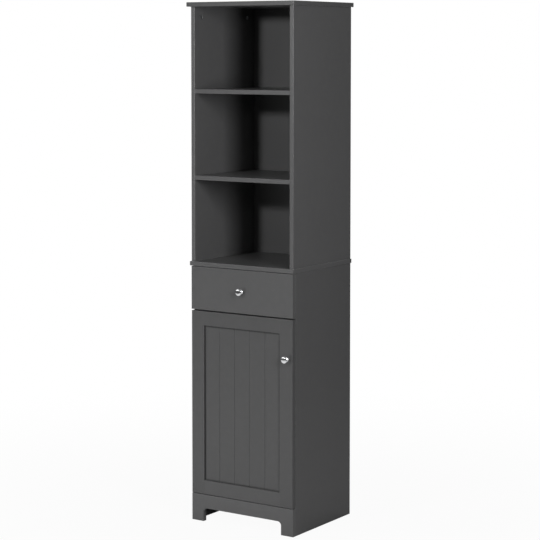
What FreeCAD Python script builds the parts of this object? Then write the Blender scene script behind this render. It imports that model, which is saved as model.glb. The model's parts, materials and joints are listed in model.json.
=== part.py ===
import FreeCAD, Part
import math, os, re
import Sketcher
from FreeCAD import Placement, Rotation, Vector

# Tall bathroom cabinet: an open unit of three compartments on top of a lower unit with one drawer
# and one door.  Millimetres, +Z up, front towards -Y, origin at the bottom centre of the whole
# cabinet.  Depths are counted forwards from the back plane.

doc = FreeCAD.newDocument("TallCabinet")

# One line per size: alias, value, what it is.
sizeList = [
    ("bodyWidth", 420, "over the outer faces of the side panels"),
    ("board", 15, "thickness of the carcass boards"),
    ("lowerHeight", 892.5, "floor to the underside of the middle slab"),
    ("openClear", 282.5, "clear height of each open compartment"),
    ("topSide", 10, "top slab past the sides"),
    ("topFront", 13.5, "top slab past the open unit's front edges"),
    ("midSide", 4, "middle slab past the sides"),
    ("midFront", 5.5, "middle slab past the open unit's front edges"),
    ("edgeRound", 1.5, "radius on the painted front edges"),
    ("shelfSetback", 1, "shelves behind the side panels' front edges"),
    ("backThick", 3, "back panels"),
    ("backRebate", 7, "width of the rebate that holds a back panel"),
    ("backFit", 0.2, "clearance round a back panel"),
    ("backNails", 5, "nails up each side of a back panel"),
    ("frontThick", 16, "thickness of the drawer front, the door and the apron"),
    ("frontGap", 1.5, "gap behind the drawer front and the door"),
    ("upperSetback", 2, "open unit's front edges behind the fronts' faces"),
    ("drawerReveal", 0.5, "drawer front short of the body at each side"),
    ("doorReveal", 1.5, "door short of the body at each side"),
    ("slabGap", 2, "gap between the middle slab and the drawer front"),
    ("frontsGap", 4.5, "gap between the drawer front and the door"),
    ("apronGap", 2, "gap between the door and the apron"),
    ("drawerFrontHigh", 149.5, "height of the drawer front"),
    ("apronHigh", 94.5, "height of the apron"),
    ("archHigh", 46, "height of the arch in the apron"),
    ("footWide", 49, "width of each foot of the apron"),
    ("archRound", 14, "radius in the corners of the arch"),
    ("bottomLift", 86, "floor to the underside of the bottom panel"),
    ("stileWide", 52, "door stile"),
    ("railHigh", 49, "door rail"),
    ("panelRecess", 5, "door panel behind the front of its frame"),
    ("panelThick", 6, "door panel"),
    ("panelTongue", 8, "door panel and rails inside the groove of the frame"),
    ("tongueFit", 0.2, "clearance at the end of a tongue"),
    ("panelBoards", 5, "boards that the door panel's grooves mark out"),
    ("veeWide", 3, "width of a V groove in the door panel"),
    ("veeDeep", 1.5, "depth of a V groove in the door panel"),
    ("cupShelfFront", 48.5, "shelf behind the door to the side panels' front edges"),
    ("cupShelfGap", 1, "gap at each end of the shelf behind the door"),
    ("pinLift", 410, "floor to the axis of the shelf pins"),
    ("pinRadius", 2.5, "stem of a shelf pin"),
    ("pinLong", 8, "stem of a shelf pin to each side of its collar"),
    ("pinCollar", 1, "thickness of a shelf pin's collar"),
    ("pinCollarOut", 2, "collar past the stem"),
    ("pinInset", 40, "shelf pin to the front or back edge of its shelf"),
    ("knobProject", 21, "how far a knob stands out"),
    ("knobRadius", 12.5, "head of a knob"),
    ("knobHead", 10.5, "depth of a knob's head"),
    ("knobBase", 9.5, "radius of a knob's foot"),
    ("knobFoot", 4, "height of the foot's straight edge"),
    ("knobFlare", 8, "height at which the foot has drawn in to the neck"),
    ("knobNeck", 5, "radius of a knob's neck"),
    ("pullRadius", 2, "thread of a knob's screw"),
    ("pullReach", 10, "thread inside the knob"),
    ("pullClear", 1, "bore past the end of the thread"),
    ("pullHead", 4.5, "head of a knob's screw"),
    ("pullHeadHigh", 2.2, "height of that head"),
    ("knobDrop", 134, "door's top edge to the door knob"),
    ("knobInset", 23, "door's free edge to the door knob"),
    ("boxThick", 12, "boards of the drawer box"),
    ("boxHigh", 100, "height of the drawer box"),
    ("boxLong", 320, "length of the drawer box; the cabinet is as deep as it needs"),
    ("drawerBack", 30, "clearance behind the drawer box"),
    ("boxLift", 12, "divider to the underside of the drawer box"),
    ("runnerSpace", 12.5, "between the drawer box and the side panel"),
    ("bottomThick", 3, "drawer bottom"),
    ("bottomUp", 10, "drawer bottom above the lower edge of the box"),
    ("bottomGroove", 6, "depth of the groove that holds the drawer bottom"),
    ("bottomFit", 0.2, "clearance at the edge of the drawer bottom"),
    ("runnerShort", 20, "runner members shorter than the drawer box"),
    ("runnerSet", 3, "cabinet member behind the side panel's front edge"),
    ("memberSet", 2, "drawer member behind the drawer front"),
    ("memberGap", 2.5, "drawer member to the side panel"),
    ("flangeShort", 1, "drawer member's lower flange short of the box side's inner face"),
    ("sheetMetal", 1.2, "sheet thickness of the runners"),
    ("channelHigh", 22, "height of the cabinet member"),
    ("channelReach", 10.5, "reach of the cabinet member's flanges"),
    ("channelNotch", 27, "length of flange cut away round the front roller"),
    ("flangeUp", 2, "drawer member's lower flange above the channel's underside"),
    ("frontRoller", 11, "radius of the roller on the cabinet member"),
    ("rearRoller", 9.5, "radius of the roller on the drawer member"),
    ("rollerWide", 7, "width of a roller"),
    ("rollerOff", 2.8, "side panel to the near face of a roller"),
    ("rollerRim", 0.8, "chamfer on the rim of a roller"),
    ("rollerRise", 0.5, "front roller above the middle of its channel"),
    ("rollGap", 0.3, "running gap under or over a roller"),
    ("axleRadius", 2, "axle of a roller"),
    ("axlePast", 0.1, "axle past the far face of its roller"),
    ("pivotFit", 0.05, "radial clearance on an axle or a hinge pin"),
    ("frontAxle", 13, "front roller behind the end of its member"),
    ("rearAxle", 12, "rear roller ahead of the end of its member"),
    ("camRadius", 7.5, "cam disc"),
    ("camDeep", 12.2, "depth of a cam disc in its board"),
    ("crossLong", 8, "length of the cross recess in a cam disc"),
    ("crossWide", 1.4, "width of that recess"),
    ("crossDeep", 2, "depth of that recess"),
    ("camInset", 34, "cam disc to the joint that it pulls together"),
    ("camThread", 11, "threaded end of a cam bolt"),
    ("boltRadius", 3, "thread of a cam bolt"),
    ("boltWaist", 2.5, "shaft of a cam bolt"),
    ("boltHead", 3.4, "head of a cam bolt"),
    ("boltHeadLong", 4, "length of that head"),
    ("boltShort", 1, "cam bolt short of its cam's axis"),
    ("camFront", 40, "front cams behind the front edge"),
    ("camBack", 48, "back cams ahead of the back plane"),
    ("apronCam", 60, "floor to the cams that hold the apron"),
    ("dowelRadius", 4, "wooden dowel"),
    ("dowelLong", 30, "length of a dowel"),
    ("dowelShort", 10, "length of a dowel in the thinner side of its joint"),
    ("dowelFront", 80, "front dowels behind the front edge"),
    ("dowelBack", 100, "back dowels ahead of the back plane"),
    ("baseFront", 120, "front base screws behind the front edge"),
    ("baseBack", 150, "back base screws ahead of the back plane"),
    ("hingeInset", 95, "hinge axis to the end of the door"),
    ("armPivotIn", 20.8, "arm's pivot from the side panel's inner face"),
    ("armPivotBack", 3.4, "arm's pivot behind the side panel's front edge"),
    ("armHigh", 14, "height of a hinge arm"),
    ("armThick", 9.8, "thickness of a hinge arm's shank"),
    ("armLong", 60, "back end of a hinge arm behind the front edge"),
    ("noseNear", 16, "start of the arm's nose behind the front edge, on the plate's side"),
    ("noseFar", 26, "start of the nose on the open side"),
    ("noseHalf", 2.1, "half the nose's width at its pivot"),
    ("noseLean", 1.5, "lean of the nose's end"),
    ("eyeRadius", 2.6, "eye at the end of a hinge arm"),
    ("slotRadius", 6, "slot in the eye for the link"),
    ("slotFit", 0.3, "clearance above and below the link"),
    ("plateThick", 3.2, "mounting plate under a hinge arm"),
    ("plateStart", 18, "mounting plate behind the front edge"),
    ("plateWing", 2, "thickness of the plate's wings"),
    ("plateWingLong", 14, "length of a wing from front to back"),
    ("plateWingPast", 6, "wing past its screw"),
    ("plateSpread", 18, "plate screws above and below the hinge axis"),
    ("plateBack", 39, "plate screws behind the front edge"),
    ("cupRadius", 17.5, "hinge cup"),
    ("cupDeep", 12, "depth of a hinge cup"),
    ("cupWall", 0.8, "wall of a hinge cup"),
    ("cupFloor", 0.6, "floor of a hinge cup"),
    ("cupNotch", 2, "depth of the notch in the cup's rim where the link passes"),
    ("earSize", 5, "width and height of the ears in a hinge cup"),
    ("earApart", 4, "ears from the cup's middle"),
    ("earDeep", 4.5, "top of the ears below the back of the door"),
    ("wingWide", 14, "wing of a hinge cup, across the stile"),
    ("wingLong", 17, "wing of a hinge cup, along the stile"),
    ("wingThick", 1, "thickness of that wing"),
    ("wingStart", 12, "wing from the cup's middle, along the stile"),
    ("wingAside", 2.5, "wing from the cup's middle, across the stile"),
    ("wingScrewOut", 22.5, "wing screws from the cup's middle"),
    ("cupPinLong", 17, "length of the pin in a hinge cup"),
    ("cupEdge", 4.5, "door's edge to the hinge cup"),
    ("cupPivotIn", 8.1, "cup's pivot from the door's edge"),
    ("cupPivotDeep", 7.6, "cup's pivot below the back of the door"),
    ("linkHigh", 6, "height of a hinge link"),
    ("linkHalf", 1.2, "half the thickness of a hinge link"),
    ("linkEye", 2.2, "eye of a hinge link"),
    ("linkBow", 7.1, "how far a hinge link bows out"),
    ("linkPeak", 0.563, "where along a hinge link it bows most"),
    ("hingePin", 1.2, "radius of a hinge pin"),
]

# Screws and nails: name, radius of the head, its height, radius of the shank, whole length, use.
screwList = [
    ("baseScrew", 5, 2, 3.2, 50, "up through the middle slab"),
    ("backNail", 2, 0.6, 0.8, 16, "in a back panel"),
    ("runnerScrew", 3.4, 0.9, 1.75, 11, "in a runner"),
    ("boxScrew", 3.4, 0.8, 1.8, 40, "through a side of the drawer box"),
    ("frontScrew", 3.8, 1.6, 2, 24, "from the drawer box into the drawer front"),
    ("cupScrew", 3.4, 1.2, 1.8, 13, "in a hinge cup's wing"),
    ("plateScrew", 3.6, 1.4, 2, 14, "in a hinge plate"),
]
for name, head, headHigh, shank, long, use in screwList:
    sizeList += [(name + "Head", head, "radius of the head, " + use),
                 (name + "HeadHigh", headHigh, "height of the head, " + use),
                 (name + "Shank", shank, "radius of the shank, " + use),
                 (name + "Long", long, "whole length, " + use)]
sizes = {alias: value for alias, value, note in sizeList}

# Lengths that follow from the sizes above.
derived = {
    "halfWidth": "bodyWidth / 2",
    "innerHalf": "bodyWidth / 2 - board",
    "lowerDepth": "boxLong + drawerBack + backThick - frontGap",
    "frontFace": "lowerDepth + frontGap + frontThick",
    "upperDepth": "frontFace - upperSetback",
    "backY": "(frontFace + knobProject) / 2",
    "lowerY": "backY - lowerDepth",
    "upperY": "backY - upperDepth",
    "frontBack": "lowerY - frontGap",
    "slabTop": "lowerHeight + board",
    "upperHigh": "3 * openClear + 2 * board",
    "topUnder": "slabTop + upperHigh",
    "drawerLow": "lowerHeight - slabGap - drawerFrontHigh",
    "doorLow": "apronHigh + apronGap",
    "doorTop": "drawerLow - frontsGap",
    "doorWide": "bodyWidth - 2 * doorReveal",
    "doorHigh": "doorTop - doorLow",
    "openingWide": "doorWide - 2 * stileWide",
    "openingHigh": "doorHigh - 2 * railHigh",
    "panelPlace": "frontThick - panelRecess - panelThick",
    "dividerLow": "drawerLow - frontsGap / 2 - board / 2",
    "dividerTop": "dividerLow + board",
    "boxLow": "dividerTop + boxLift",
    "boxHalf": "innerHalf - runnerSpace",
    "boxInner": "boxHalf - boxThick",
    "runnerLong": "boxLong - runnerShort",
    "memberY": "frontBack + memberSet",
    "channelLow": "boxLow - sheetMetal - flangeUp",
    "knobHigh": "drawerLow + drawerFrontHigh / 2",
    "flangeLow": "frontRollerUp + frontRoller + rollGap",
    "frontRollerUp": "channelHigh / 2 + rollerRise",
    "rearRollerUp": "sheetMetal + rollGap + rearRoller",
    "cupIn": "doorReveal + cupEdge + cupRadius",
    "shelfLong": "upperDepth - shelfSetback - backThick",
    "cupShelfDeep": "lowerDepth - backThick - cupShelfFront",
    "panelNail": "innerHalf + backRebate / 2",
}

nodes = []


def fillSheet():
    """Write every size into the spreadsheet as a plain number under its alias."""
    sheet = doc.addObject("Spreadsheet::Sheet", "Sizes")
    for row, (alias, value, note) in enumerate(sizeList, start=1):
        sheet.set(f"A{row}", note)
        sheet.set(f"B{row}", str(value))
        sheet.setAlias(f"B{row}", alias)
    doc.recompute()
    return sheet


sheet = fillSheet()


def ex(text):
    """Turn a formula in plain words into one that reads the spreadsheet."""
    def swap(match):
        word = match.group(0)
        if word in derived:
            return "(" + ex(derived[word]) + ")"
        return "Sizes." + word if word in sizes else word
    return re.sub(r"[A-Za-z_]\w*", swap, str(text))


def size(alias):
    return float(sheet.get(alias))


turns = {
    "+Z": Rotation(),
    "-Z": Rotation(Vector(1, 0, 0), 180),
    "+X": Rotation(Vector(0, 1, 0), 90),
    "-X": Rotation(Vector(0, 1, 0), -90),
    "+Y": Rotation(Vector(1, 0, 0), -90),
    "-Y": Rotation(Vector(1, 0, 0), 90),
}


def place(thing, x="0", y="0", z="0", turn="+Z"):
    """Bind an object's position; turn says where its own Z axis points."""
    thing.Placement = Placement(Vector(), turns[turn])
    for axis, text in zip("xyz", (x, y, z)):
        if str(text) != "0":
            thing.setExpression(f"Placement.Base.{axis}", ex(text))
    return thing


def node(thing):
    nodes.append(thing)
    return thing


# Sketches and features -------------------------------------------------------------------


def newBody(label):
    body = doc.addObject("PartDesign::Body", "Body")
    body.Label = label
    return body


def newSketch(body, role, lift="0"):
    """A sketch on one of the body's own planes, moved along the plane's normal by lift."""
    sketch = body.newObject("Sketcher::SketchObject", "Sketch")
    plane = [f for f in body.Origin.OriginFeatures if f.Role == role][0]
    sketch.AttachmentSupport = [(plane, "")]
    sketch.MapMode = "FlatFace"
    if lift != "0":
        sketch.setExpression("AttachmentOffset.Base.z", ex(lift))
    return sketch


def bindPoint(sketch, item, end, u, v):
    """Hold one point of the sketch at (u, v) from the sketch's origin."""
    for kind, text, axis in (("DistanceX", u, -2), ("DistanceY", v, -1)):
        if str(text) == "0":
            sketch.addConstraint(Sketcher.Constraint("PointOnObject", item, end, axis))
        else:
            index = sketch.addConstraint(Sketcher.Constraint(kind, -1, 1, item, end, 1.0))
            sketch.setExpression(f"Constraints[{index}]", ex(text))


def drawLoop(sketch, points):
    """A closed outline of straight lines through the given points."""
    count = len(points)
    ring = [Vector(50 * math.cos(k * 2 * math.pi / count), 50 * math.sin(k * 2 * math.pi / count), 0)
            for k in range(count)]
    first = sketch.GeometryCount
    for k in range(count):
        sketch.addGeometry(Part.LineSegment(ring[k], ring[(k + 1) % count]), False)
    for k in range(count):
        link = Sketcher.Constraint("Coincident", first + k, 2, first + (k + 1) % count, 1)
        sketch.addConstraint(link)
    for k, (u, v) in enumerate(points):
        bindPoint(sketch, first + k, 1, u, v)


def drawRectangle(sketch, u, v, wide, high):
    drawLoop(sketch, [(u, v), (f"{u} + {wide}", v), (f"{u} + {wide}", f"{v} + {high}"),
                      (u, f"{v} + {high}")])


def drawCircle(sketch, u, v, radius):
    item = sketch.addGeometry(Part.Circle(Vector(20, 20, 0), Vector(0, 0, 1), 5), False)
    index = sketch.addConstraint(Sketcher.Constraint("Radius", item, 5))
    sketch.setExpression(f"Constraints[{index}]", ex(radius))
    bindPoint(sketch, item, 3, u, v)


def pad(body, sketch, length, reverse=False):
    feature = body.newObject("PartDesign::Pad", "Pad")
    feature.Profile = sketch
    feature.setExpression("Length", ex(length))
    feature.Reversed = reverse
    return feature


def padMiddle(body, sketch, length):
    feature = pad(body, sketch, length)
    feature.Midplane = True
    return feature


def cut(body, sketch, length, reverse=False):
    """A pocket that must take something away."""
    doc.recompute()
    before = body.Shape.Volume
    feature = body.newObject("PartDesign::Pocket", "Pocket")
    feature.Profile = sketch
    feature.setExpression("Length", ex(length))
    feature.Reversed = reverse
    doc.recompute()
    if body.Shape.Volume > before - 1e-6:
        raise RuntimeError(body.Label + ": a pocket takes nothing away")
    return feature


def revolve(body, sketch):
    """Turn a profile drawn on the XZ plane once round the Z axis."""
    feature = body.newObject("PartDesign::Revolution", "Revolution")
    feature.Profile = sketch
    feature.ReferenceAxis = (sketch, ["V_Axis"])
    feature.Angle = 360
    return feature


def roundEdges(body, radius, wanted):
    """Fillet the edges whose centre passes the test wanted(point, box, length)."""
    doc.recompute()
    base = body.Tip
    box = base.Shape.BoundBox
    names = [f"Edge{k}" for k, edge in enumerate(base.Shape.Edges, start=1)
             if wanted(edge.CenterOfMass, box, edge.Length)]
    fillet = body.newObject("PartDesign::Fillet", "Fillet")
    fillet.Base = (base, names)
    fillet.setExpression("Radius", ex(radius))
    return fillet


def near(a, b):
    return abs(a - b) < 1e-4


# Copies, groups and fitted holes ---------------------------------------------------------


def copyAt(master, x, y, z, turn="+Z"):
    """One more of the same piece, with its own Z axis pointing along turn."""
    copy = doc.addObject("Part::Compound", "Copy")
    copy.Links = [master]
    return place(copy, x, y, z, turn)


def group(label, pieces):
    """Identical pieces that share a node."""
    compound = doc.addObject("Part::Compound", "Group")
    compound.Label = label
    compound.Links = pieces
    return compound


def drill(label, blank, groups):
    """The blank with a fitted hole for every piece of the groups that reaches into it."""
    thing = blank
    blank.Label = label + "_blank"
    for tool in groups:
        hollow = doc.addObject("Part::Cut", "Drilled")
        hollow.Base = thing
        hollow.Tool = tool
        thing = hollow
    thing.Label = label
    return node(thing)


def solidBox(wide, deep, high, x, y, z):
    box = doc.addObject("Part::Box", "Box")
    for name, text in (("Length", wide), ("Width", deep), ("Height", high)):
        box.setExpression(name, ex(text))
    return place(box, x, y, z)


def solidRod(radius, long, x, y, z, turn="+Z"):
    rod = doc.addObject("Part::Cylinder", "Rod")
    rod.setExpression("Radius", ex(radius))
    rod.setExpression("Height", ex(long))
    return place(rod, x, y, z, turn)


def fuse(pieces):
    whole = doc.addObject("Part::MultiFuse", "Fused")
    whole.Shapes = pieces
    return whole


def subtract(base, tool):
    rest = doc.addObject("Part::Cut", "Rest")
    rest.Base = base
    rest.Tool = tool
    return rest


# Fasteners: each is drawn along its own +Z axis ------------------------------------------


def turned(label, points):
    """A turned piece from its half profile, as (radius, height) pairs."""
    body = newBody(label)
    sketch = newSketch(body, "XZ_Plane")
    drawLoop(sketch, points)
    revolve(body, sketch)
    return body


def screw(kind):
    """One kind from the list of screws: its head starts at height 0 and it narrows to a point."""
    head, high, shank, long = (kind + part for part in ("Head", "HeadHigh", "Shank", "Long"))
    return turned(kind, [(0, 0), (head, 0), (head, high), (shank, f"{high} + {shank} / 3"),
                         (shank, f"{long} - {shank}"), (0, long)])


def camDisc():
    body = newBody("cam disc")
    face = newSketch(body, "XY_Plane")
    drawCircle(face, 0, 0, "camRadius")
    pad(body, face, "camDeep")
    for wide, high in (("crossLong", "crossWide"), ("crossWide", "crossLong")):
        cross = newSketch(body, "XY_Plane")
        drawRectangle(cross, f"-{wide} / 2", f"-{high} / 2", wide, high)
        cut(body, cross, "crossDeep", reverse=True)
    return body


def camBolt():
    end = "camThread + camInset - boltShort"
    return turned("cam bolt", [
        (0, 0), ("boltRadius", 0), ("boltRadius", "camThread"), ("boltWaist", "camThread"),
        ("boltWaist", f"{end} - boltHeadLong"), ("boltHead", f"{end} - boltHeadLong"),
        ("boltHead", end), (0, end)])


def shelfPin():
    collar, far = "pinRadius + pinCollarOut", "pinLong + pinCollar"
    return turned("shelf pin", [
        (0, 0), ("pinRadius", 0), ("pinRadius", "pinLong"), (collar, "pinLong"), (collar, far),
        ("pinRadius", far), ("pinRadius", f"{far} + pinLong"), (0, f"{far} + pinLong")])


sides = ((-1, "-X", "+X"), (1, "+X", "-X"))


def jointHardware():
    """Cam discs, cam bolts and dowels for every joint of the carcass, and the discs' bores."""
    disc, bolt = camDisc(), camBolt()
    bore = solidRod("camRadius", "camDeep", "0", "0", "0")
    dowel = turned("dowel", [(0, 0), ("dowelRadius", 0), ("dowelRadius", "dowelLong"), (0, "dowelLong")])
    seats, bolts, dowels = [], [], []
    upright = (("topUnder", "upperDepth"), ("lowerHeight", "lowerDepth"))
    flat = (("slabTop + openClear", "upperDepth"), ("slabTop + 2 * openClear + board", "upperDepth"),
            ("dividerLow", "lowerDepth"), ("bottomLift", "lowerDepth"))
    for sign, outward, inward in sides:
        middle = f"{sign} * (halfWidth - board / 2)"
        for joint, depth in upright:
            for y in (f"backY - {depth} + camFront", "backY - camBack"):
                seats.append((f"{sign} * innerHalf", y, f"{joint} - camInset", outward))
                bolts.append(copyAt(bolt, middle, y, f"{joint} + camThread", "-Z"))
            for y in (f"backY - {depth} + dowelFront", "backY - dowelBack"):
                low = f"{joint} + dowelShort - dowelLong"
                dowels.append(copyAt(dowel, middle, y, low))
        for low, depth in flat:
            for y in (f"backY - {depth} + camFront", "backY - camBack"):
                seats.append((f"{sign} * (innerHalf - camInset)", y, low, "+Z"))
                start = f"{sign} * (innerHalf + camThread)"
                bolts.append(copyAt(bolt, start, y, f"{low} + board / 2", inward))
        y = "lowerY + camInset"
        seats.append((f"{sign} * innerHalf", y, "apronCam", outward))
        bolts.append(copyAt(bolt, middle, "lowerY - camThread", "apronCam", "+Y"))
        for z in ("archHigh / 2", "apronHigh - archHigh / 3"):
            dowels.append(copyAt(dowel, middle, "lowerY - dowelShort", z, "+Y"))
    discs = group("cam discs whole", [copyAt(disc, *seat) for seat in seats])
    bores = group("cam bores", [copyAt(bore, *seat) for seat in seats])
    bolts = node(group("cam_bolts", bolts))
    drill("cam_discs", discs, [bolts])
    return bores, bolts, node(group("wood_dowels", dowels))


def baseScrews():
    """Long screws up through the middle slab into the open unit's sides."""
    long = screw("baseScrew")
    places = [(sign, y) for sign in (-1, 1) for y in ("upperY + baseFront", "backY - baseBack")]
    return node(group("base_screws", [
        copyAt(long, f"{sign} * (halfWidth - board / 2)", y, "lowerHeight") for sign, y in places]))


def backNails():
    """Nails through both back panels into the boards around them."""
    nail = screw("backNail")
    nails = []
    for sign in (-1, 1):
        for k in range(int(size("backNails"))):
            share = f"({k} + 0.5) / backNails"
            upper = f"slabTop + upperHigh * {share}"
            lower = f"bottomLift + (lowerHeight - bottomLift) * {share}"
            for z in (upper, lower):
                nails.append(copyAt(nail, f"{sign} * panelNail", "backY", z, "-Y"))
        for low in ("slabTop + openClear", "slabTop + 2 * openClear + board", "dividerLow",
                    "bottomLift"):
            nails.append(copyAt(nail, f"{sign} * halfWidth / 2", "backY", f"{low} + board / 2", "-Y"))
    return node(group("back_nails", nails))


# Carcass ---------------------------------------------------------------------------------


def slab(label, wide, deep, z):
    """A slab flush with the back, rounded on every edge but the back ones."""
    body = newBody(label)
    sketch = newSketch(body, "XY_Plane")
    drawRectangle(sketch, 0, 0, wide, deep)
    pad(body, sketch, "board")
    roundEdges(body, "edgeRound", lambda c, box, long: not near(c.y, box.YMax))
    return place(body, f"-({wide}) / 2", f"backY - ({deep})", z)


def sidePanel(label, sign, deep, high, z):
    """A side panel with the back panel's rebate along its inner back edge."""
    body = newBody(label)
    plan = newSketch(body, "XY_Plane")
    drawRectangle(plan, 0, 0, "board", deep)
    pad(body, plan, high)
    rebate = newSketch(body, "XY_Plane")
    start = "board - backRebate" if sign < 0 else "0"
    drawRectangle(rebate, start, f"{deep} - backThick", "backRebate", "backThick")
    cut(body, rebate, high, reverse=True)
    roundEdges(body, "edgeRound",
               lambda c, box, long: near(c.y, box.YMin) and near(c.z, box.Center.z))
    return place(body, "-halfWidth" if sign < 0 else "innerHalf", f"backY - {deep}", z)


def shelf(label, wide, deep, y, z):
    """A board between the sides, rounded along its front edges."""
    body = newBody(label)
    sketch = newSketch(body, "XY_Plane")
    drawRectangle(sketch, 0, 0, wide, deep)
    pad(body, sketch, "board")
    roundEdges(body, "edgeRound",
               lambda c, box, long: near(c.y, box.YMin) and near(c.x, box.Center.x))
    return place(body, f"-({wide}) / 2", y, z)


def backPanel(label, low, high):
    wide = "bodyWidth - 2 * board + 2 * backRebate - 2 * backFit"
    return label, solidBox(wide, "backThick", f"{high} - ({low}) - 2 * backFit",
                           f"-({wide}) / 2", "backY - backThick", f"{low} + backFit")


def apron():
    """The arched apron across the front of the plinth."""
    body = newBody("apron")
    face = newSketch(body, "XZ_Plane")
    drawLoop(face, [(0, 0), ("footWide", 0), ("footWide", "archHigh"),
                    ("bodyWidth - footWide", "archHigh"), ("bodyWidth - footWide", 0),
                    ("bodyWidth", 0), ("bodyWidth", "apronHigh"), (0, "apronHigh")])
    pad(body, face, "frontThick")
    high = size("archHigh")
    roundEdges(body, "archRound", lambda c, box, long: near(c.z, high)
               and near(c.y, box.Center.y))
    roundEdges(body, "edgeRound", lambda c, box, long: near(c.y, box.YMin))
    return place(body, "-halfWidth", "lowerY", "0")


def carcass(bores, bolts, dowels, base, nails, pins, plates, runnerScrews):
    """Every board of the two carcasses, drilled for the hardware that it holds."""
    upperWide = "2 * innerHalf"
    drill("top_slab", slab("top", "bodyWidth + 2 * topSide", "upperDepth + topFront", "topUnder"),
          [bolts, dowels])
    drill("middle_slab", slab("middle", "bodyWidth + 2 * midSide", "upperDepth + midFront",
                              "lowerHeight"), [bolts, dowels, base])
    for sign, side in ((-1, "left"), (1, "right")):
        drill(f"upper_side_{side}", sidePanel("side", sign, "upperDepth", "upperHigh", "slabTop"),
              [bores, bolts, dowels, base, nails])
        drill(f"lower_side_{side}", sidePanel("side", sign, "lowerDepth", "lowerHeight", "0"),
              [bores, bolts, dowels, nails, pins, plates, runnerScrews])
    y = "upperY + shelfSetback"
    drill("upper_shelf", shelf("shelf", upperWide, "shelfLong", y, "slabTop + 2 * openClear + board"),
          [bores, bolts, nails])
    drill("lower_shelf", shelf("shelf", upperWide, "shelfLong", y, "slabTop + openClear"),
          [bores, bolts, nails])
    deep = "lowerDepth - backThick"
    drill("drawer_divider", shelf("divider", upperWide, deep, "lowerY", "dividerLow"),
          [bores, bolts, nails])
    drill("bottom_panel", shelf("bottom", upperWide, deep, "lowerY", "bottomLift"),
          [bores, bolts, nails])
    for label, panel in (backPanel("upper_back_panel", "slabTop", "topUnder"),
                         backPanel("lower_back_panel", "bottomLift", "lowerHeight")):
        drill(label, panel, [nails])
    drill("plinth_apron", apron(), [bolts, dowels])


def looseShelf():
    """The shelf behind the door and the four pins that it lies on."""
    wide = "2 * innerHalf - 2 * cupShelfGap"
    body = shelf("cupboard_shelf", wide, "cupShelfDeep", "backY - backThick - cupShelfDeep",
                 "pinLift + pinRadius")
    node(body)
    pin = shelfPin()
    places = [(sign, inward, y) for sign, outward, inward in sides
              for y in ("backY - backThick - cupShelfDeep + pinInset", "backY - backThick - pinInset")]
    return node(group("shelf_pins", [
        copyAt(pin, f"{sign} * (innerHalf + pinLong)", y, "pinLift", inward)
        for sign, inward, y in places]))


# Knobs -----------------------------------------------------------------------------------


# A knob's head from its neck to the middle of its face: shares of its radius and of its depth.
headShape = ((0.62, 0.16), (0.86, 0.36), (0.97, 0.48), (1, 0.57), (0.985, 0.66), (0.92, 0.77),
             (0.79, 0.88), (0.6, 0.95), (0.35, 0.99), (0, 1))


def knob(label, x, z):
    """A turned mushroom knob on the front, bored from behind for its screw."""
    neck, bore = "(knobProject - knobHead)", "pullReach + pullClear"
    foot = [("pullRadius", 0), ("knobBase", 0), ("knobBase", "knobFoot"),
            ("(knobBase + knobNeck) / 2", "knobFoot + (knobFlare - knobFoot) / 3"),
            ("knobNeck", "knobFlare"), ("knobNeck", neck)]
    head = [(f"knobRadius * {out}" if out else 0, f"{neck} + knobHead * {up}")
            for out, up in headShape]
    body = turned(label, foot + head + [(0, bore), ("pullRadius", bore)])
    return node(place(body, x, "frontBack - frontThick", z, "-Y"))


def knobScrew(label, x, z, grip):
    """The screw that comes through from behind, its head against the inner face."""
    end = f"pullHeadHigh + {grip} + pullReach"
    body = turned(label, [(0, 0), ("pullHead", 0), ("pullHead", "pullHeadHigh"),
                          ("pullRadius", "pullHeadHigh"), ("pullRadius", end), (0, end)])
    back = f"frontBack - frontThick + {grip} + pullHeadHigh"
    return node(place(body, x, back, z, "-Y"))


# Runners ---------------------------------------------------------------------------------


def channelMember(side, sign):
    """The fixed runner: a channel with its flanges cut away at the front roller."""
    body = newBody(f"runner_cabinet_{side}")
    section = newSketch(body, "XZ_Plane")
    t, w, h = "sheetMetal", "channelReach", "channelHigh"
    if sign < 0:
        across = [(0, 0), (w, 0), (w, t), (t, t), (t, f"{h} - {t}"), (w, f"{h} - {t}"), (w, h), (0, h)]
    else:
        across = [(0, 0), (w, 0), (w, h), (0, h), (0, f"{h} - {t}"), (f"{w} - {t}", f"{h} - {t}"),
                  (f"{w} - {t}", t), (0, t)]
    drawLoop(section, across)
    pad(body, section, "runnerLong", reverse=True)
    notch = newSketch(body, "XY_Plane")
    drawRectangle(notch, t if sign < 0 else "0", 0, f"{w} - {t}", "channelNotch")
    cut(body, notch, h, reverse=True)
    x = "-innerHalf" if sign < 0 else "innerHalf - channelReach"
    return place(body, x, "lowerY + runnerSet", "channelLow")


def drawerMember(side, sign):
    """The moving runner: a web on the box side, a flange under it and one over the roller."""
    body = newBody(f"runner_drawer_{side}")
    section = newSketch(body, "XZ_Plane")
    t, r, under = "sheetMetal", "runnerSpace - memberGap", "boxThick - flangeShort"
    low, high = "flangeUp", "flangeLow + sheetMetal"
    points = [(0, "flangeLow"), (f"{r} - {t}", "flangeLow"), (f"{r} - {t}", low),
              (f"{r} + {under}", low), (f"{r} + {under}", f"{low} + {t}"), (r, f"{low} + {t}"),
              (r, high), (0, high)]
    if sign > 0:
        span = f"{r} + {under}"
        points = [(f"{span} - ({u})" if str(u) != span else "0", v) for u, v in points][::-1]
    drawLoop(section, points)
    pad(body, section, "runnerLong", reverse=True)
    x = f"-boxHalf - ({r})" if sign < 0 else f"boxHalf - ({under})"
    return place(body, x, "memberY", "channelLow")


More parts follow.
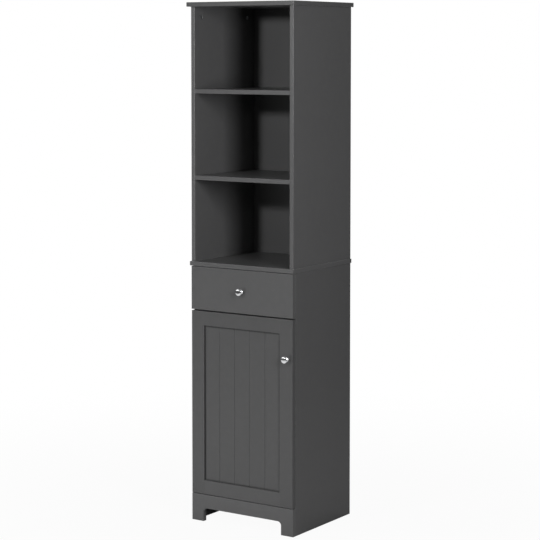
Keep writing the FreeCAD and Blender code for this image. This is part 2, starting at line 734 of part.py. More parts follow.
def roller(label, sign, radius, y, z):
    """A nylon roller with its rim chamfered, on an axle along X."""
    body = turned(label, [
        ("axleRadius + pivotFit", 0), (f"{radius} - rollerRim", 0), (radius, "rollerRim"),
        (radius, "rollerWide - rollerRim"), (f"{radius} - rollerRim", "rollerWide"),
        ("axleRadius + pivotFit", "rollerWide")])
    x = f"{sign} * (innerHalf - rollerOff)"
    return node(place(body, x, y, z, "+X" if sign < 0 else "-X"))


def runners():
    """Both pairs of runner members with their rollers, axles and screws."""
    fixing = screw("runnerScrew")
    axleLong = "rollerOff + rollerWide - sheetMetal + axlePast"
    frontY, frontZ = "lowerY + runnerSet + frontAxle", "channelLow + frontRollerUp"
    rearY, rearZ = "memberY + runnerLong - rearAxle", "channelLow + rearRollerUp"
    fixed, moving, frontAxles, rearAxles = [], [], [], []
    for sign, outward, inward in sides:
        side = "left" if sign < 0 else "right"
        roller(f"front_roller_{side}", sign, "frontRoller", frontY, frontZ)
        roller(f"rear_roller_{side}", sign, "rearRoller", rearY, rearZ)
        frontAxles.append(solidRod("axleRadius", axleLong, f"{sign} * (innerHalf - sheetMetal)",
                                   frontY, frontZ, inward))
        rearAxles.append(solidRod("axleRadius", "runnerSpace - rollerOff - sheetMetal + axlePast",
                                  f"{sign} * (boxHalf + sheetMetal)", rearY, rearZ, outward))
        for along in ("runnerLong / 4", "runnerLong * 3 / 4"):
            x = f"{sign} * (innerHalf - sheetMetal - runnerScrewHeadHigh)"
            z = "channelLow + channelHigh / 2"
            fixed.append(copyAt(fixing, x, f"lowerY + runnerSet + {along}", z, outward))
            x = f"{sign} * (boxHalf + sheetMetal + runnerScrewHeadHigh)"
            moving.append(copyAt(fixing, x, f"memberY + {along}", z, inward))
    fixedScrews = node(group("runner_cabinet_screws", fixed))
    movingScrews = node(group("runner_drawer_screws", moving))
    node(group("front_roller_axles", frontAxles))
    node(group("rear_roller_axles", rearAxles))
    for sign, side in ((-1, "left"), (1, "right")):
        drill(f"runner_cabinet_{side}", channelMember(side, sign), [fixedScrews])
        drill(f"runner_drawer_{side}", drawerMember(side, sign), [movingScrews])
    return fixedScrews, movingScrews


# Drawer ----------------------------------------------------------------------------------


def drawerScrews():
    """Screws through the box sides, and from the box front into the drawer front."""
    sideScrew, frontScrew = screw("boxScrew"), screw("frontScrew")
    through, front = [], []
    for sign, outward, inward in sides:
        for y in ("frontBack + boxThick / 2", "frontBack + boxLong - boxThick / 2"):
            for z in ("boxLow + boxHigh * 0.35", "boxLow + boxHigh * 0.8"):
                through.append(copyAt(sideScrew, f"{sign} * boxHalf", y, z, inward))
        front.append(copyAt(frontScrew, f"{sign} * boxInner * 0.6", "frontBack + boxThick",
                            "boxLow + boxHigh / 2", "-Y"))
    return node(group("drawer_box_screws", through)), node(group("drawer_front_screws", front))


def drawerSide(sign):
    """A drawer side with the groove for the bottom along its inner face."""
    body = newBody("drawer side")
    face = newSketch(body, "XY_Plane")
    drawRectangle(face, 0, 0, "boxThick", "boxLong")
    pad(body, face, "boxHigh")
    groove = newSketch(body, "XZ_Plane")
    drawRectangle(groove, "boxThick - bottomGroove" if sign < 0 else "0", "bottomUp",
                  "bottomGroove", "bottomThick")
    cut(body, groove, "boxLong")
    return place(body, "-boxHalf" if sign < 0 else "boxInner", "frontBack", "boxLow")


def drawerEnd(y, low):
    """The board that closes the drawer box at one end, above its bottom."""
    return solidBox("2 * boxInner", "boxThick", f"boxHigh - ({low})", "-boxInner", y,
                    f"boxLow + {low}")


def drawer(boxScrews, frontScrews, runnerScrews):
    """The drawer front and the box behind it."""
    handle = "knobHigh"
    grip = "frontThick + boxThick"
    knob("drawer_knob", "0", handle)
    pull = knobScrew("drawer_knob_screw", "0", handle, grip)
    wide = "bodyWidth - 2 * drawerReveal"
    front = newBody("front")
    face = newSketch(front, "XZ_Plane")
    drawRectangle(face, 0, 0, wide, "drawerFrontHigh")
    pad(front, face, "frontThick")
    roundEdges(front, "edgeRound", lambda c, box, long: near(c.y, box.YMin))
    place(front, f"-({wide}) / 2", "frontBack", "drawerLow")
    drill("drawer_front", front, [frontScrews, pull])
    for sign, side in ((-1, "left"), (1, "right")):
        drill(f"drawer_side_{side}", drawerSide(sign), [boxScrews, runnerScrews])
    low = "bottomUp + bottomThick"
    drill("drawer_box_front", drawerEnd("frontBack", low), [boxScrews, frontScrews, pull])
    drill("drawer_box_back", drawerEnd("frontBack + boxLong - boxThick", low), [boxScrews])
    half = "boxInner + bottomGroove - bottomFit"
    base = solidBox(f"2 * ({half})", "boxLong", "bottomThick", f"-({half})", "frontBack",
                    "boxLow + bottomUp")
    base.Label = "drawer_bottom"
    node(base)


# Door ------------------------------------------------------------------------------------


def stile(sign):
    """A door stile, grooved along its inner edge for the panel and the rails."""
    body = newBody("stile")
    face = newSketch(body, "XZ_Plane")
    drawRectangle(face, 0, 0, "stileWide", "doorHigh")
    pad(body, face, "frontThick")
    roundEdges(body, "edgeRound", lambda c, box, long: near(c.y, box.YMin)
               and not near(c.x, box.XMax if sign < 0 else box.XMin))
    groove = newSketch(body, "XY_Plane")
    drawRectangle(groove, "stileWide - panelTongue" if sign < 0 else "0", "-panelPlace - panelThick",
                  "panelTongue", "panelThick")
    cut(body, groove, "doorHigh", reverse=True)
    x = "-doorWide / 2" if sign < 0 else "doorWide / 2 - stileWide"
    return place(body, x, "frontBack", "doorLow")


def rail(label, top):
    """A door rail with a stub tongue at each end and a groove for the panel."""
    body = newBody(label)
    face = newSketch(body, "XZ_Plane")
    drawRectangle(face, 0, 0, "openingWide", "railHigh")
    pad(body, face, "frontThick")
    roundEdges(body, "edgeRound", lambda c, box, long: near(c.y, box.YMin)
               and near(c.z, box.ZMax if top else box.ZMin))
    tongue = newSketch(body, "XZ_Plane", "panelPlace")
    reach = "panelTongue - tongueFit"
    drawRectangle(tongue, f"-({reach})", "0", f"openingWide + 2 * ({reach})", "railHigh")
    pad(body, tongue, "panelThick")
    groove = newSketch(body, "YZ_Plane", f"-({reach})")
    drawRectangle(groove, "-panelPlace - panelThick", "0" if top else "railHigh - panelTongue",
                  "panelThick", "panelTongue")
    cut(body, groove, f"openingWide + 2 * ({reach})", reverse=True)
    return node(place(body, "-openingWide / 2", "frontBack",
                      "doorTop - railHigh" if top else "doorLow"))


def doorPanel():
    """The recessed panel, with V grooves that mark it out as upright boards."""
    body = newBody("door_panel")
    reach = "(panelTongue - tongueFit)"
    face = newSketch(body, "XZ_Plane")
    drawRectangle(face, 0, 0, f"openingWide + 2 * {reach}", f"openingHigh + 2 * {reach}")
    pad(body, face, "panelThick")
    vee = newSketch(body, "XY_Plane")
    middle = f"{reach} + openingWide / panelBoards"
    drawLoop(vee, [(f"{middle} - veeWide / 2", "-panelThick"), (f"{middle} + veeWide / 2", "-panelThick"),
                   (middle, "veeDeep - panelThick")])
    groove = cut(body, vee, f"openingHigh + 2 * {reach}", reverse=True)
    row = body.newObject("PartDesign::LinearPattern", "Row")
    row.Originals = [groove]
    row.Direction = (vee, ["H_Axis"])
    row.setExpression("Length", ex("openingWide * (panelBoards - 2) / panelBoards"))
    row.Occurrences = int(size("panelBoards")) - 1
    body.Tip = row
    return node(place(body, f"-openingWide / 2 - {reach}", "frontBack - panelPlace",
                      f"doorLow + railHigh - {reach}"))


def hingeCup():
    """A hinge cup with its two screw wings and the ears that carry its pin; axis along +Z."""
    shell = turned("cup shell", [
        (0, "cupDeep"), ("cupRadius", "cupDeep"), ("cupRadius", 0), ("cupRadius - cupWall", 0),
        ("cupRadius - cupWall", "cupDeep - cupFloor"), (0, "cupDeep - cupFloor")])
    x = "cupPivotIn - cupEdge - cupRadius"
    pieces = [shell]
    inside = solidRod("cupRadius - cupWall / 2", "cupDeep - cupFloor / 2", "0", "0", "0")
    for y in ("earApart", "-earApart - earSize"):
        ear = doc.addObject("Part::Common", "Ear")
        ear.Base = solidBox("earSize", "earSize", "cupDeep - earDeep", f"{x} - earSize / 2", y, "earDeep")
        ear.Tool = inside
        pieces.append(ear)
    for y in ("wingStart", "-wingStart - wingLong"):
        pieces.append(solidBox("wingWide", "wingLong", "wingThick", "wingAside", y, "-wingThick"))
    high = "linkHigh + 4 * slotFit"
    notch = solidBox("2 * cupWall", high, "cupNotch", "-cupRadius", f"-({high}) / 2", "0")
    return subtract(fuse(pieces), notch), x


def hinges():
    """Two concealed hinges: plates and arms on the side panel, links, and cups in the door."""
    high = ("doorLow + hingeInset", "doorTop - hingeInset")
    cup, x = hingeCup()
    pinHole = solidRod("hingePin", "cupPinLong", x, "-cupPinLong / 2", "cupPivotDeep", "+Y")
    bored = subtract(cup, pinHole)
    cupX = "cupIn - halfWidth"
    pivotX = "doorReveal + cupPivotIn - halfWidth"
    pins = [solidRod("hingePin", "cupPinLong", pivotX, "frontBack - cupPivotDeep",
                     f"{z} - cupPinLong / 2") for z in high]
    node(group("hinge_cup_pins", pins))
    wing = screw("cupScrew")
    wingX, wingY = f"{cupX} + wingAside + wingWide / 2", "frontBack + wingThick + cupScrewHeadHigh"
    wings = [copyAt(wing, wingX, wingY, f"{z} + {sign} * wingScrewOut", "-Y")
             for z in high for sign in (-1, 1)]
    screws = node(group("hinge_cup_screws", wings))
    cups = group("cups", [copyAt(bored, cupX, "frontBack", z, "-Y") for z in high])
    drill("hinge_cups", cups, [screws])
    return high, screws


def hingeArm():
    """The arm in plan: a shank on the plate and a nose that runs forward to the pivot."""
    body = newBody("arm")
    plan = newSketch(body, "XY_Plane")
    far = "plateThick + armThick"
    drawLoop(plan, [("plateThick", "armLong"), ("plateThick", "noseNear"),
                    ("armPivotIn - noseHalf", "armPivotBack - noseLean"),
                    ("armPivotIn + noseHalf", "armPivotBack + noseLean"), (far, "noseFar"),
                    (far, "armLong")])
    padMiddle(body, plan, "armHigh")
    eye = solidRod("eyeRadius", "armHigh", "armPivotIn", "armPivotBack", "-armHigh / 2")
    slot = solidRod("slotRadius", "linkHigh + 2 * slotFit", "armPivotIn", "armPivotBack",
                    "-linkHigh / 2 - slotFit")
    hole = solidRod("hingePin", "armHigh", "armPivotIn", "armPivotBack", "-armHigh / 2")
    return subtract(subtract(fuse([body, eye]), slot), hole)


def hingePlate():
    """The plate under the arm, with a wing for a screw above and below it."""
    strip = solidBox("plateThick", "armLong - plateStart", "armHigh", "0", "plateStart", "-armHigh / 2")
    wings = solidBox("plateWing", "plateWingLong", "2 * (plateSpread + plateWingPast)", "0",
                     "plateBack - plateWingLong / 2", "-plateSpread - plateWingPast")
    return fuse([strip, wings])


def fixedHinges(high):
    """The parts of the hinges that stay on the left side panel."""
    fixing = screw("plateScrew")
    x = "plateWing + plateScrewHeadHigh - innerHalf"
    screws = node(group("hinge_plate_screws", [
        copyAt(fixing, x, "lowerY + plateBack", f"{z} + {sign} * plateSpread", "-X")
        for z in high for sign in (-1, 1)]))
    plate, arm = hingePlate(), hingeArm()
    plates = group("plates", [copyAt(plate, "-innerHalf", "lowerY", z) for z in high])
    drill("hinge_plates", plates, [screws])
    node(group("hinge_arms", [copyAt(arm, "-innerHalf", "lowerY", z) for z in high]))
    node(group("hinge_arm_pins", [
        solidRod("hingePin", "armHigh", "armPivotIn - innerHalf", "lowerY + armPivotBack",
                 f"{z} - armHigh / 2") for z in high]))
    return screws


def linkPlate(lift):
    """One bowed link between the arm's pivot and the cup's, as a solid in place."""
    half = size("bodyWidth") / 2
    deep = size("boxLong") + size("drawerBack") + size("backThick") - size("frontGap")
    front = (size("knobProject") + size("frontThick") + size("frontGap") - deep) / 2
    arm = Vector(size("board") + size("armPivotIn") - half, front + size("armPivotBack"), 0)
    cup = Vector(size("doorReveal") + size("cupPivotIn") - half,
                 front - size("frontGap") - size("cupPivotDeep"), 0)
    along = cup - arm
    out = Vector(-along.y, along.x, 0).normalize()
    peak = arm + along * size("linkPeak") + out * size("linkBow")
    circle = Part.Arc(arm, peak, cup).toShape().Curve
    centre, radius = circle.Center, circle.Radius
    faces = []
    for reach in (radius + size("linkHalf"), radius - size("linkHalf")):
        faces.append([centre + (point - centre).normalize() * reach for point in (arm, peak, cup)])
    outer, inner = faces
    edges = [Part.Arc(*outer).toShape(), Part.makeLine(outer[2], inner[2]),
             Part.Arc(*inner[::-1]).toShape(), Part.makeLine(inner[0], outer[0])]
    high = size("linkHigh")
    solid = Part.Face(Part.Wire(edges)).extrude(Vector(0, 0, high))
    for pivot in (arm, cup):
        solid = solid.fuse(Part.makeCylinder(size("linkEye"), high, pivot))
    for pivot in (arm, cup):
        solid = solid.cut(Part.makeCylinder(size("hingePin") + size("pivotFit"), high, pivot))
    solid.translate(Vector(0, 0, lift - high / 2))
    return solid


def hingeLinks():
    """Both links in one node: they turn about the same two axes."""
    low = size("apronHigh") + size("apronGap")
    top = size("lowerHeight") - size("slabGap") - size("drawerFrontHigh") - size("frontsGap")
    links = doc.addObject("Part::Feature", "Links")
    links.Label = "hinge_links"
    links.Shape = Part.makeCompound([linkPlate(low + size("hingeInset")),
                                     linkPlate(top - size("hingeInset"))])
    links.Placement = Placement()
    return node(links)


def door(high, wingScrews):
    """The framed door, its knob and the cup holes in its left stile."""
    x, z = "doorWide / 2 - knobInset", "doorTop - knobDrop"
    knob("door_knob", x, z)
    pull = knobScrew("door_knob_screw", x, z, "frontThick")
    holes = group("cup holes", [
        solidRod("cupRadius", "cupDeep", "cupIn - halfWidth", "frontBack", z, "-Y") for z in high])
    drill("door_stile_left", stile(-1), [holes, wingScrews])
    drill("door_stile_right", stile(1), [pull])
    rail("door_rail_top", True)
    rail("door_rail_bottom", False)
    doorPanel()


# The whole cabinet -----------------------------------------------------------------------


def build():
    bores, bolts, dowels = jointHardware()
    base, nails, pins = baseScrews(), backNails(), looseShelf()
    high, wingScrews = hinges()
    plateScrews = fixedHinges(high)
    hingeLinks()
    fixedScrews, movingScrews = runners()
    carcass(bores, bolts, dowels, base, nails, pins, plateScrews, fixedScrews)
    boxScrews, frontScrews = drawerScrews()
    drawer(boxScrews, frontScrews, movingScrews)
    door(high, wingScrews)
    doc.recompute()


def check():
    """Stop on any failed object or any piece that isn't a sound solid."""
    for thing in doc.Objects:
        if "Invalid" in thing.State or "Error" in thing.State:
            raise RuntimeError(f"{thing.Name} ({thing.Label}) failed: {thing.State}")
    for piece in nodes:
        if piece.Shape.isNull() or not piece.Shape.isValid() or not piece.Shape.Solids:
            raise RuntimeError(f"{piece.Label} has no sound shape")


def write():
    os.makedirs("parts", exist_ok=True)
    for piece in nodes:
        piece.Shape.exportStep(f"parts/{piece.Label}.step")
        print(f"{piece.Label}: {len(piece.Shape.Solids)} solid(s), {piece.Shape.Volume:.0f} mm3")
    print(len(nodes), "nodes")


build()
check()
write()
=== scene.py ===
import json
import math
import random

import bmesh
import bpy
from mathutils import Matrix, Vector


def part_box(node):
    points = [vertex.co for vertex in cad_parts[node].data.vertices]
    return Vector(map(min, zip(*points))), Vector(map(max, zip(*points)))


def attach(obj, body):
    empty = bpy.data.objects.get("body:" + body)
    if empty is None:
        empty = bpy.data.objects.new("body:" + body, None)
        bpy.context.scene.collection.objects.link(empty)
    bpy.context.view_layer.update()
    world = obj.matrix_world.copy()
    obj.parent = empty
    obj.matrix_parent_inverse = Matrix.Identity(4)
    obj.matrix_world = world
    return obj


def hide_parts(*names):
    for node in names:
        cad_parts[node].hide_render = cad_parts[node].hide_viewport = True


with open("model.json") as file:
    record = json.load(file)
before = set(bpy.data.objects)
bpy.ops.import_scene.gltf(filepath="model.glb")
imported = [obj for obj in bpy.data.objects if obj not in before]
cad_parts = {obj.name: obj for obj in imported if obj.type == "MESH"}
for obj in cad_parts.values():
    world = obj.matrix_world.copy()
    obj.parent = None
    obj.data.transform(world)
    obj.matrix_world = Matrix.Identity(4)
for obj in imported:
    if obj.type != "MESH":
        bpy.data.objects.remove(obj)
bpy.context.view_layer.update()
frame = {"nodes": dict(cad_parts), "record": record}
scene = bpy.context.scene
print("frame loaded:", len(frame["nodes"]), "nodes")


class Wire:  # a socket that adds up like a number
    def __init__(self, finish, socket):
        self.finish = finish
        self.socket = socket

    def math(self, operation, *values):
        return self.finish.add("ShaderNodeMath", {"operation": operation}, dict(enumerate(values)))

    def __add__(self, other): return self.math("ADD", self, other)
    def __radd__(self, other): return self.math("ADD", other, self)
    def __sub__(self, other): return self.math("SUBTRACT", self, other)
    def __rsub__(self, other): return self.math("SUBTRACT", other, self)
    def __mul__(self, other): return self.math("MULTIPLY", self, other)
    def __pow__(self, other): return self.math("POWER", self, other)
    def __abs__(self): return self.math("ABSOLUTE", self)
    def least(self, other): return self.math("MINIMUM", self, other)
    def most(self, other): return self.math("MAXIMUM", self, other)
    def sine(self): return self.math("SINE", self)

    def fade(self, start, end, first=0.0, last=1.0):  # eases from first at start to last at end
        return self.finish.add("ShaderNodeMapRange", {"interpolation_type": "SMOOTHSTEP"}, {
            "Value": self, "From Min": start, "From Max": end, "To Min": first, "To Max": last})


class Finish:  # a material, or the world, that grows its own nodes
    def __init__(self, name, kind="Material"):
        self.block = (bpy.data.worlds if kind == "World" else bpy.data.materials).new(name)
        self.block.use_nodes = True
        self.tree = self.block.node_tree
        self.tree.nodes.clear()
        self.output = self.tree.nodes.new("ShaderNodeOutput" + kind)
        self.place = self.add("ShaderNodeTexCoord", {}, {},
                              "Generated" if kind == "World" else "Object")

    def add(self, kind, settings, sockets, out=0):
        node = self.tree.nodes.new(kind)
        for key, value in settings.items():
            setattr(node, key, value)
        for key, value in sockets.items():
            entry = node.inputs[key]
            if isinstance(value, Wire):
                self.tree.links.new(value.socket, entry)
            else:
                entry.default_value = (*value, 1.0) if entry.type == "RGBA" else value
        return Wire(self, node.outputs[out])

    def axes(self):
        split = self.add("ShaderNodeSeparateXYZ", {}, {"Vector": self.place})
        return [Wire(self, split.socket.node.outputs[k]) for k in range(3)]

    def noise(self, scale, detail=3.0, rough=0.5, stretch=None):
        where = self.place
        if stretch:
            where = self.add("ShaderNodeMapping", {}, {"Vector": where, "Scale": stretch})
        return self.add("ShaderNodeTexNoise", {}, {
            "Vector": where, "Scale": scale, "Detail": detail, "Roughness": rough}, "Fac")

    def noises(self, recipe, *keys):
        return [self.noise(*recipe[key]) for key in keys]

    def tint(self, factor, first, second):
        return self.add("ShaderNodeMix", {"data_type": "RGBA"},
                        {0: factor, 6: first, 7: second}, 2)

    def bump(self, height, depth):
        return self.add("ShaderNodeBump", {}, {"Height": height, "Distance": depth})

    def show(self, surface):
        self.tree.links.new(surface.socket, self.output.inputs["Surface"])
        return self.block

    def shader(self, **sockets):
        names = {"colour": "Base Color", "metallic": "Metallic", "roughness": "Roughness",
                 "normal": "Normal", "specular": "Specular IOR Level"}
        return self.show(self.add("ShaderNodeBsdfPrincipled", {},
                                  {names[key]: value for key, value in sockets.items()}))


def edgeGap(finish, low, high):  # from a point on a board's skin to the board's nearest edge
    x, y, z = ((b - a) / 2 - abs(along - (a + b) / 2)
               for along, a, b in zip(finish.axes(), low, high))
    return x.least(y).most(x.most(y).least(z))


# Colours are linear. A noise is given by its scale, detail and roughness, and then by its stretch.
# A tint says where its noise fades in, how strong it is and how bright it is beside the base.
paint = {
    "colour": (0.081, 0.081, 0.082), "roughness": 0.35, "specular": 0.45,
    # Painted light and shade: the paint of these boards is darker or lighter by how the light falls
    # on them.
    "paintedLight": {"door": 0.77, "drawer_front": 0.93, "apron": 1.04, "upper_side_left": 1.12,
             "top_slab": 0.9, "lower_side_right": 0.93, "rail_bottom": 1.1},   # as the photo reads
    "drift": (3.0, 2.0), "driftShades": (0.95, 1.05),
    "mottle": (55.0, 4.0, 0.6), "mottleTint": (0.35, 0.75, 0.5, 1.12),
    "speck": (900.0, 2.0, 0.6), "speckTint": (0.62, 0.8, 0.3, 0.8),
    "edgeWidth": 0.0016, "edgeWander": 0.0012,
    "worn": 1.3, "wornShare": 0.75,   # paler where the coat is thin over the rounded edges
    "scratch": (130.0, 2.0, 0.5, (0.06, 1.0, 1.0)), "scratchFade": (0.7, 0.74),
    "patches": (9.0, 1.0), "patchesFade": (0.55, 0.7),   # where there are any scratches
    "scratched": 1.5, "scratchShare": 0.25,
    "peel": (420.0, 3.0, 0.55), "peelDepth": 0.00005,   # the texture that a paint roller leaves
    # Painted shade: the door panel's paint is darkened along its frame, where the frame shades the
    # recess.
    "corner": 0.42, "paintedShadeReach": (0.0075, 0.0035),   # darker on the door panel along its frame
}
doorOpening = (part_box("door_stile_left")[1].x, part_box("door_stile_right")[0].x,
               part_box("door_rail_bottom")[1].z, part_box("door_rail_top")[0].z)


def paintFinish(name, low, high):
    f = Finish("paint_" + name)
    drift, mottle, speck, peel, scratch, patches = f.noises(
        paint, "drift", "mottle", "speck", "peel", "scratch", "patches")
    base = Vector(paint["colour"])
    # Painted light and shade: a board named in this table gets its base colour darker or lighter by
    # how the light falls on it.
    for part, paintedLight in paint["paintedLight"].items():
        base = base * (paintedLight if part in name else 1.0)
    colour = f.tint(drift, *(base * shade for shade in paint["driftShades"]))
    for noise, key in ((mottle, "mottleTint"), (speck, "speckTint")):
        start, end, share, shade = paint[key]
        colour = f.tint(noise.fade(start, end) * share, colour, base * shade)
    gap = edgeGap(f, low, high) + (mottle - 0.5) * paint["edgeWander"]
    worn = gap.fade(paint["edgeWidth"], paint["edgeWidth"] * 0.25)
    scratch = scratch.fade(*paint["scratchFade"]) * patches.fade(*paint["patchesFade"])
    colour = f.tint(worn * paint["wornShare"], colour, base * paint["worn"])
    colour = f.tint(scratch * paint["scratchShare"], colour, base * paint["scratched"])
    # Painted shade: the door panel darkens towards its frame, where the frame shades the recess.
    if name == "door_panel":
        x, _, z = f.axes()
        left, right, bottom, top = doorOpening
        across = (right - left) / 2 - abs(x - (left + right) / 2)
        along = (top - bottom) / 2 - abs(z - (bottom + top) / 2)
        corner = across.least(along).fade(*paint["paintedShadeReach"])
        colour = f.tint(corner * (0.8 + mottle * 0.3), colour, base * paint["corner"])
    roughness = paint["roughness"] + (drift - 0.5) * 0.1 + (mottle - 0.5) * 0.08 - worn * 0.08
    normal = f.bump(peel + speck * 0.3 - scratch * 0.4, paint["peelDepth"])
    return f.shader(colour=colour, roughness=roughness, normal=normal, specular=paint["specular"])


hardboard = {
    "drift": (4.0, 3.0), "driftShades": (0.94, 1.04), "fine": (600.0, 3.0, 0.6),
    "back": (0.062, 0.061, 0.062), "stain": (25.0, 4.0, 0.65), "backShades": (0.8, 1.25),
    "weave": 0.0013, "weaveDepth": 0.00012,   # the screen pattern on its rough side
    "roughness": 0.5, "backRougher": 0.3,
    "skin": (0.0004, 0.0001),   # how near to the back face the rough side begins and is full
    "nowhere": 9.0,   # a back face that no point reaches, for a board with two smooth sides
}


def hardboardFinish(name, backAt):
    f = Finish("hardboard_" + name)
    x, y, z = f.axes()
    drift, fine, stain = f.noises(hardboard, "drift", "fine", "stain")
    step = 2 * math.pi / hardboard["weave"]
    weave = (x * step).sine() * (z * step).sine()
    rear = y.fade(*(backAt - depth for depth in hardboard["skin"]))
    front = f.tint(drift, *(Vector(paint["colour"]) * shade for shade in hardboard["driftShades"]))
    back = f.tint(stain, *(Vector(hardboard["back"]) * shade for shade in hardboard["backShades"]))
    roughness = hardboard["roughness"] + rear * hardboard["backRougher"] + (drift - 0.5) * 0.08
    normal = f.bump(fine * 0.15 + weave * rear, hardboard["weaveDepth"])
    return f.shader(colour=f.tint(rear, front, back), roughness=roughness, normal=normal,
                    specular=paint["specular"])


chrome = {
    "colour": (0.80, 0.81, 0.82), "roughness": 0.07, "smear": (160.0, 3.0, 0.6), "smeared": 0.94,
    "hair": (2600.0, 2.0, 0.5, (1.0, 1.0, 0.08)), "hairDepth": 0.000004,
}


def chromeFinish():
    f = Finish("bright_chrome")
    smear, hair = f.noises(chrome, "smear", "hair")
    colour = f.tint(smear, Vector(chrome["colour"]) * chrome["smeared"], chrome["colour"])
    roughness = chrome["roughness"] + smear.fade(0.45, 0.8) * 0.06 + hair.fade(0.6, 0.75) * 0.05
    return f.shader(colour=colour, metallic=1.0, roughness=roughness,
                    normal=f.bump(hair, chrome["hairDepth"]))


nickel = {
    "colour": (0.60, 0.59, 0.56), "roughness": 0.24, "cloud": (70.0, 4.0, 0.6),
    "shades": (0.85, 1.06), "grain": (1500.0, 2.0, 0.5, (1.0, 1.0, 0.1)), "grainDepth": 0.000008,
}


def nickelFinish():
    f = Finish("nickel_plate")
    cloud, grain = f.noises(nickel, "cloud", "grain")
    colour = f.tint(cloud, *(Vector(nickel["colour"]) * shade for shade in nickel["shades"]))
    roughness = nickel["roughness"] + (cloud - 0.5) * 0.16 + (grain - 0.5) * 0.1
    return f.shader(colour=colour, metallic=1.0, roughness=roughness,
                    normal=f.bump(grain, nickel["grainDepth"]))


zinc = {
    "colour": (0.58, 0.60, 0.62), "dull": (0.40, 0.41, 0.41), "roughness": 0.34,
    "cloud": (120.0, 4.0, 0.65), "cloudFade": (0.35, 0.7),
    "spangle": 420.0, "spangleDepth": 0.00001,
}


def zincFinish():
    f = Finish("zinc_plate")
    cloud = f.noise(*zinc["cloud"])
    spangle = f.add("ShaderNodeTexVoronoi", {}, {"Vector": f.place, "Scale": zinc["spangle"]},
                    "Distance")
    colour = f.tint(cloud.fade(*zinc["cloudFade"]), zinc["colour"], zinc["dull"])
    roughness = zinc["roughness"] + (cloud - 0.5) * 0.25 + spangle * 0.12
    return f.shader(colour=colour, metallic=1.0, roughness=roughness,
                    normal=f.bump(spangle, zinc["spangleDepth"]))


coated = {
    "colour": (0.74, 0.74, 0.72), "roughness": 0.42, "drift": (15.0, 3.0), "shaded": 0.96,
    "rub": (60.0, 4.0, 0.65, (1.0, 0.08, 1.0)), "rubFade": (0.6, 0.72),
    "rubbed": (0.50, 0.50, 0.49), "rubShare": 0.5,   # long streaks where the drawer runs
    "peel": (750.0, 3.0, 0.6), "peelDepth": 0.00005,
}


def coatedFinish():
    f = Finish("powder_coat")
    drift, rub, peel = f.noises(coated, "drift", "rub", "peel")
    rub = rub.fade(*coated["rubFade"])
    colour = f.tint(drift, Vector(coated["colour"]) * coated["shaded"], coated["colour"])
    colour = f.tint(rub * coated["rubShare"], colour, coated["rubbed"])
    roughness = coated["roughness"] + (peel - 0.5) * 0.15 - rub * 0.08
    return f.shader(colour=colour, roughness=roughness, normal=f.bump(peel, coated["peelDepth"]))


nylon = {
    "colour": (0.78, 0.77, 0.73), "roughness": 0.38, "cloud": (180.0, 3.0), "cloudDepth": 0.00004,
    "grime": (90.0, 4.0, 0.7), "grimeFade": (0.55, 0.8), "grimy": (0.46, 0.45, 0.42),
    "grimeShare": 0.45,
}


def nylonFinish():
    f = Finish("moulded_nylon")
    cloud, grime = f.noises(nylon, "cloud", "grime")
    grime = grime.fade(*nylon["grimeFade"]) * nylon["grimeShare"]
    return f.shader(colour=f.tint(grime, nylon["colour"], nylon["grimy"]),
                    roughness=nylon["roughness"] + (cloud - 0.5) * 0.2,
                    normal=f.bump(cloud, nylon["cloudDepth"]))


beech = {
    "light": (0.60, 0.42, 0.25), "dark": (0.42, 0.26, 0.14), "roughness": 0.6,
    "grain": (240.0, 5.0, 0.6, (1.0, 1.0, 0.12)), "grainFade": (0.35, 0.7), "grainDepth": 0.00006,
}


def beechFinish():
    f = Finish("beech")
    grain = f.noise(*beech["grain"])
    return f.shader(colour=f.tint(grain.fade(*beech["grainFade"]), beech["light"], beech["dark"]),
                    roughness=beech["roughness"] + (grain - 0.5) * 0.2,
                    normal=f.bump(grain, beech["grainDepth"]))


finishes = {
    "bright_chrome": chromeFinish(),
    "plated_steel": nickelFinish(),
    "zinc": zincFinish(),
    "coated_steel": coatedFinish(),
    "nylon": nylonFinish(),
    "bare_wood": beechFinish(),
}
print("finishes mixed:", len(finishes))

slotOf = {part["node"]: part["material_slot"] for part in frame["record"]["subparts"]}
for name, piece in frame["nodes"].items():
    low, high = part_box(name)
    if slotOf[name] == "painted_board":
        finish = finishes[name] = paintFinish(name, low, high)
    elif slotOf[name] == "painted_hardboard":
        backAt = high.y if "back_panel" in name else hardboard["nowhere"]
        finish = finishes[name] = hardboardFinish(name, backAt)
    else:
        finish = finishes[slotOf[name]]
    for slot in piece.material_slots:
        slot.material = finish
print("boards painted")


# Sizes of the pieces below are in millimetres until addPiece turns them into metres.
shaping = {"merge": 0.001, "cadMerge": 0.002, "sharp": 0.8, "headEnd": 0.05,
           "cornerSteps": 5, "arcSteps": 8}


def mend(mesh):
    bmesh.ops.remove_doubles(mesh, verts=mesh.verts, dist=shaping["merge"])
    bmesh.ops.recalc_face_normals(mesh, faces=mesh.faces)
    return mesh


def vertsOf(geometry):
    return [item for item in geometry if isinstance(item, bmesh.types.BMVert)]


def shift(mesh, x=0.0, y=0.0, z=0.0, verts=None):
    bmesh.ops.translate(mesh, vec=(x, y, z), verts=verts or mesh.verts)
    return mesh


def turnedShape(profile, steps, closed=False):  # (radius, height) pairs turned round Z
    mesh = bmesh.new()
    points = [mesh.verts.new((radius, 0.0, height)) for radius, height in profile]
    pairs = list(zip(points, points[1:])) + ([(points[-1], points[0])] if closed else [])
    edges = [mesh.edges.new(pair) for pair in pairs]
    bmesh.ops.spin(mesh, geom=points + edges, cent=(0, 0, 0), axis=(0, 0, 1), dvec=(0, 0, 0),
                   angle=2 * math.pi, steps=steps, use_merge=True)
    return mend(mesh)


def mirrored(half, long):  # half a profile, and then the same half from the far end back
    return [*half, *((radius, long - up) for radius, up in half[::-1])]


def layAt(x, y, z, axis, angle=90):
    return Matrix.Translation((x, y, z)) @ Matrix.Rotation(math.radians(angle), 4, axis)


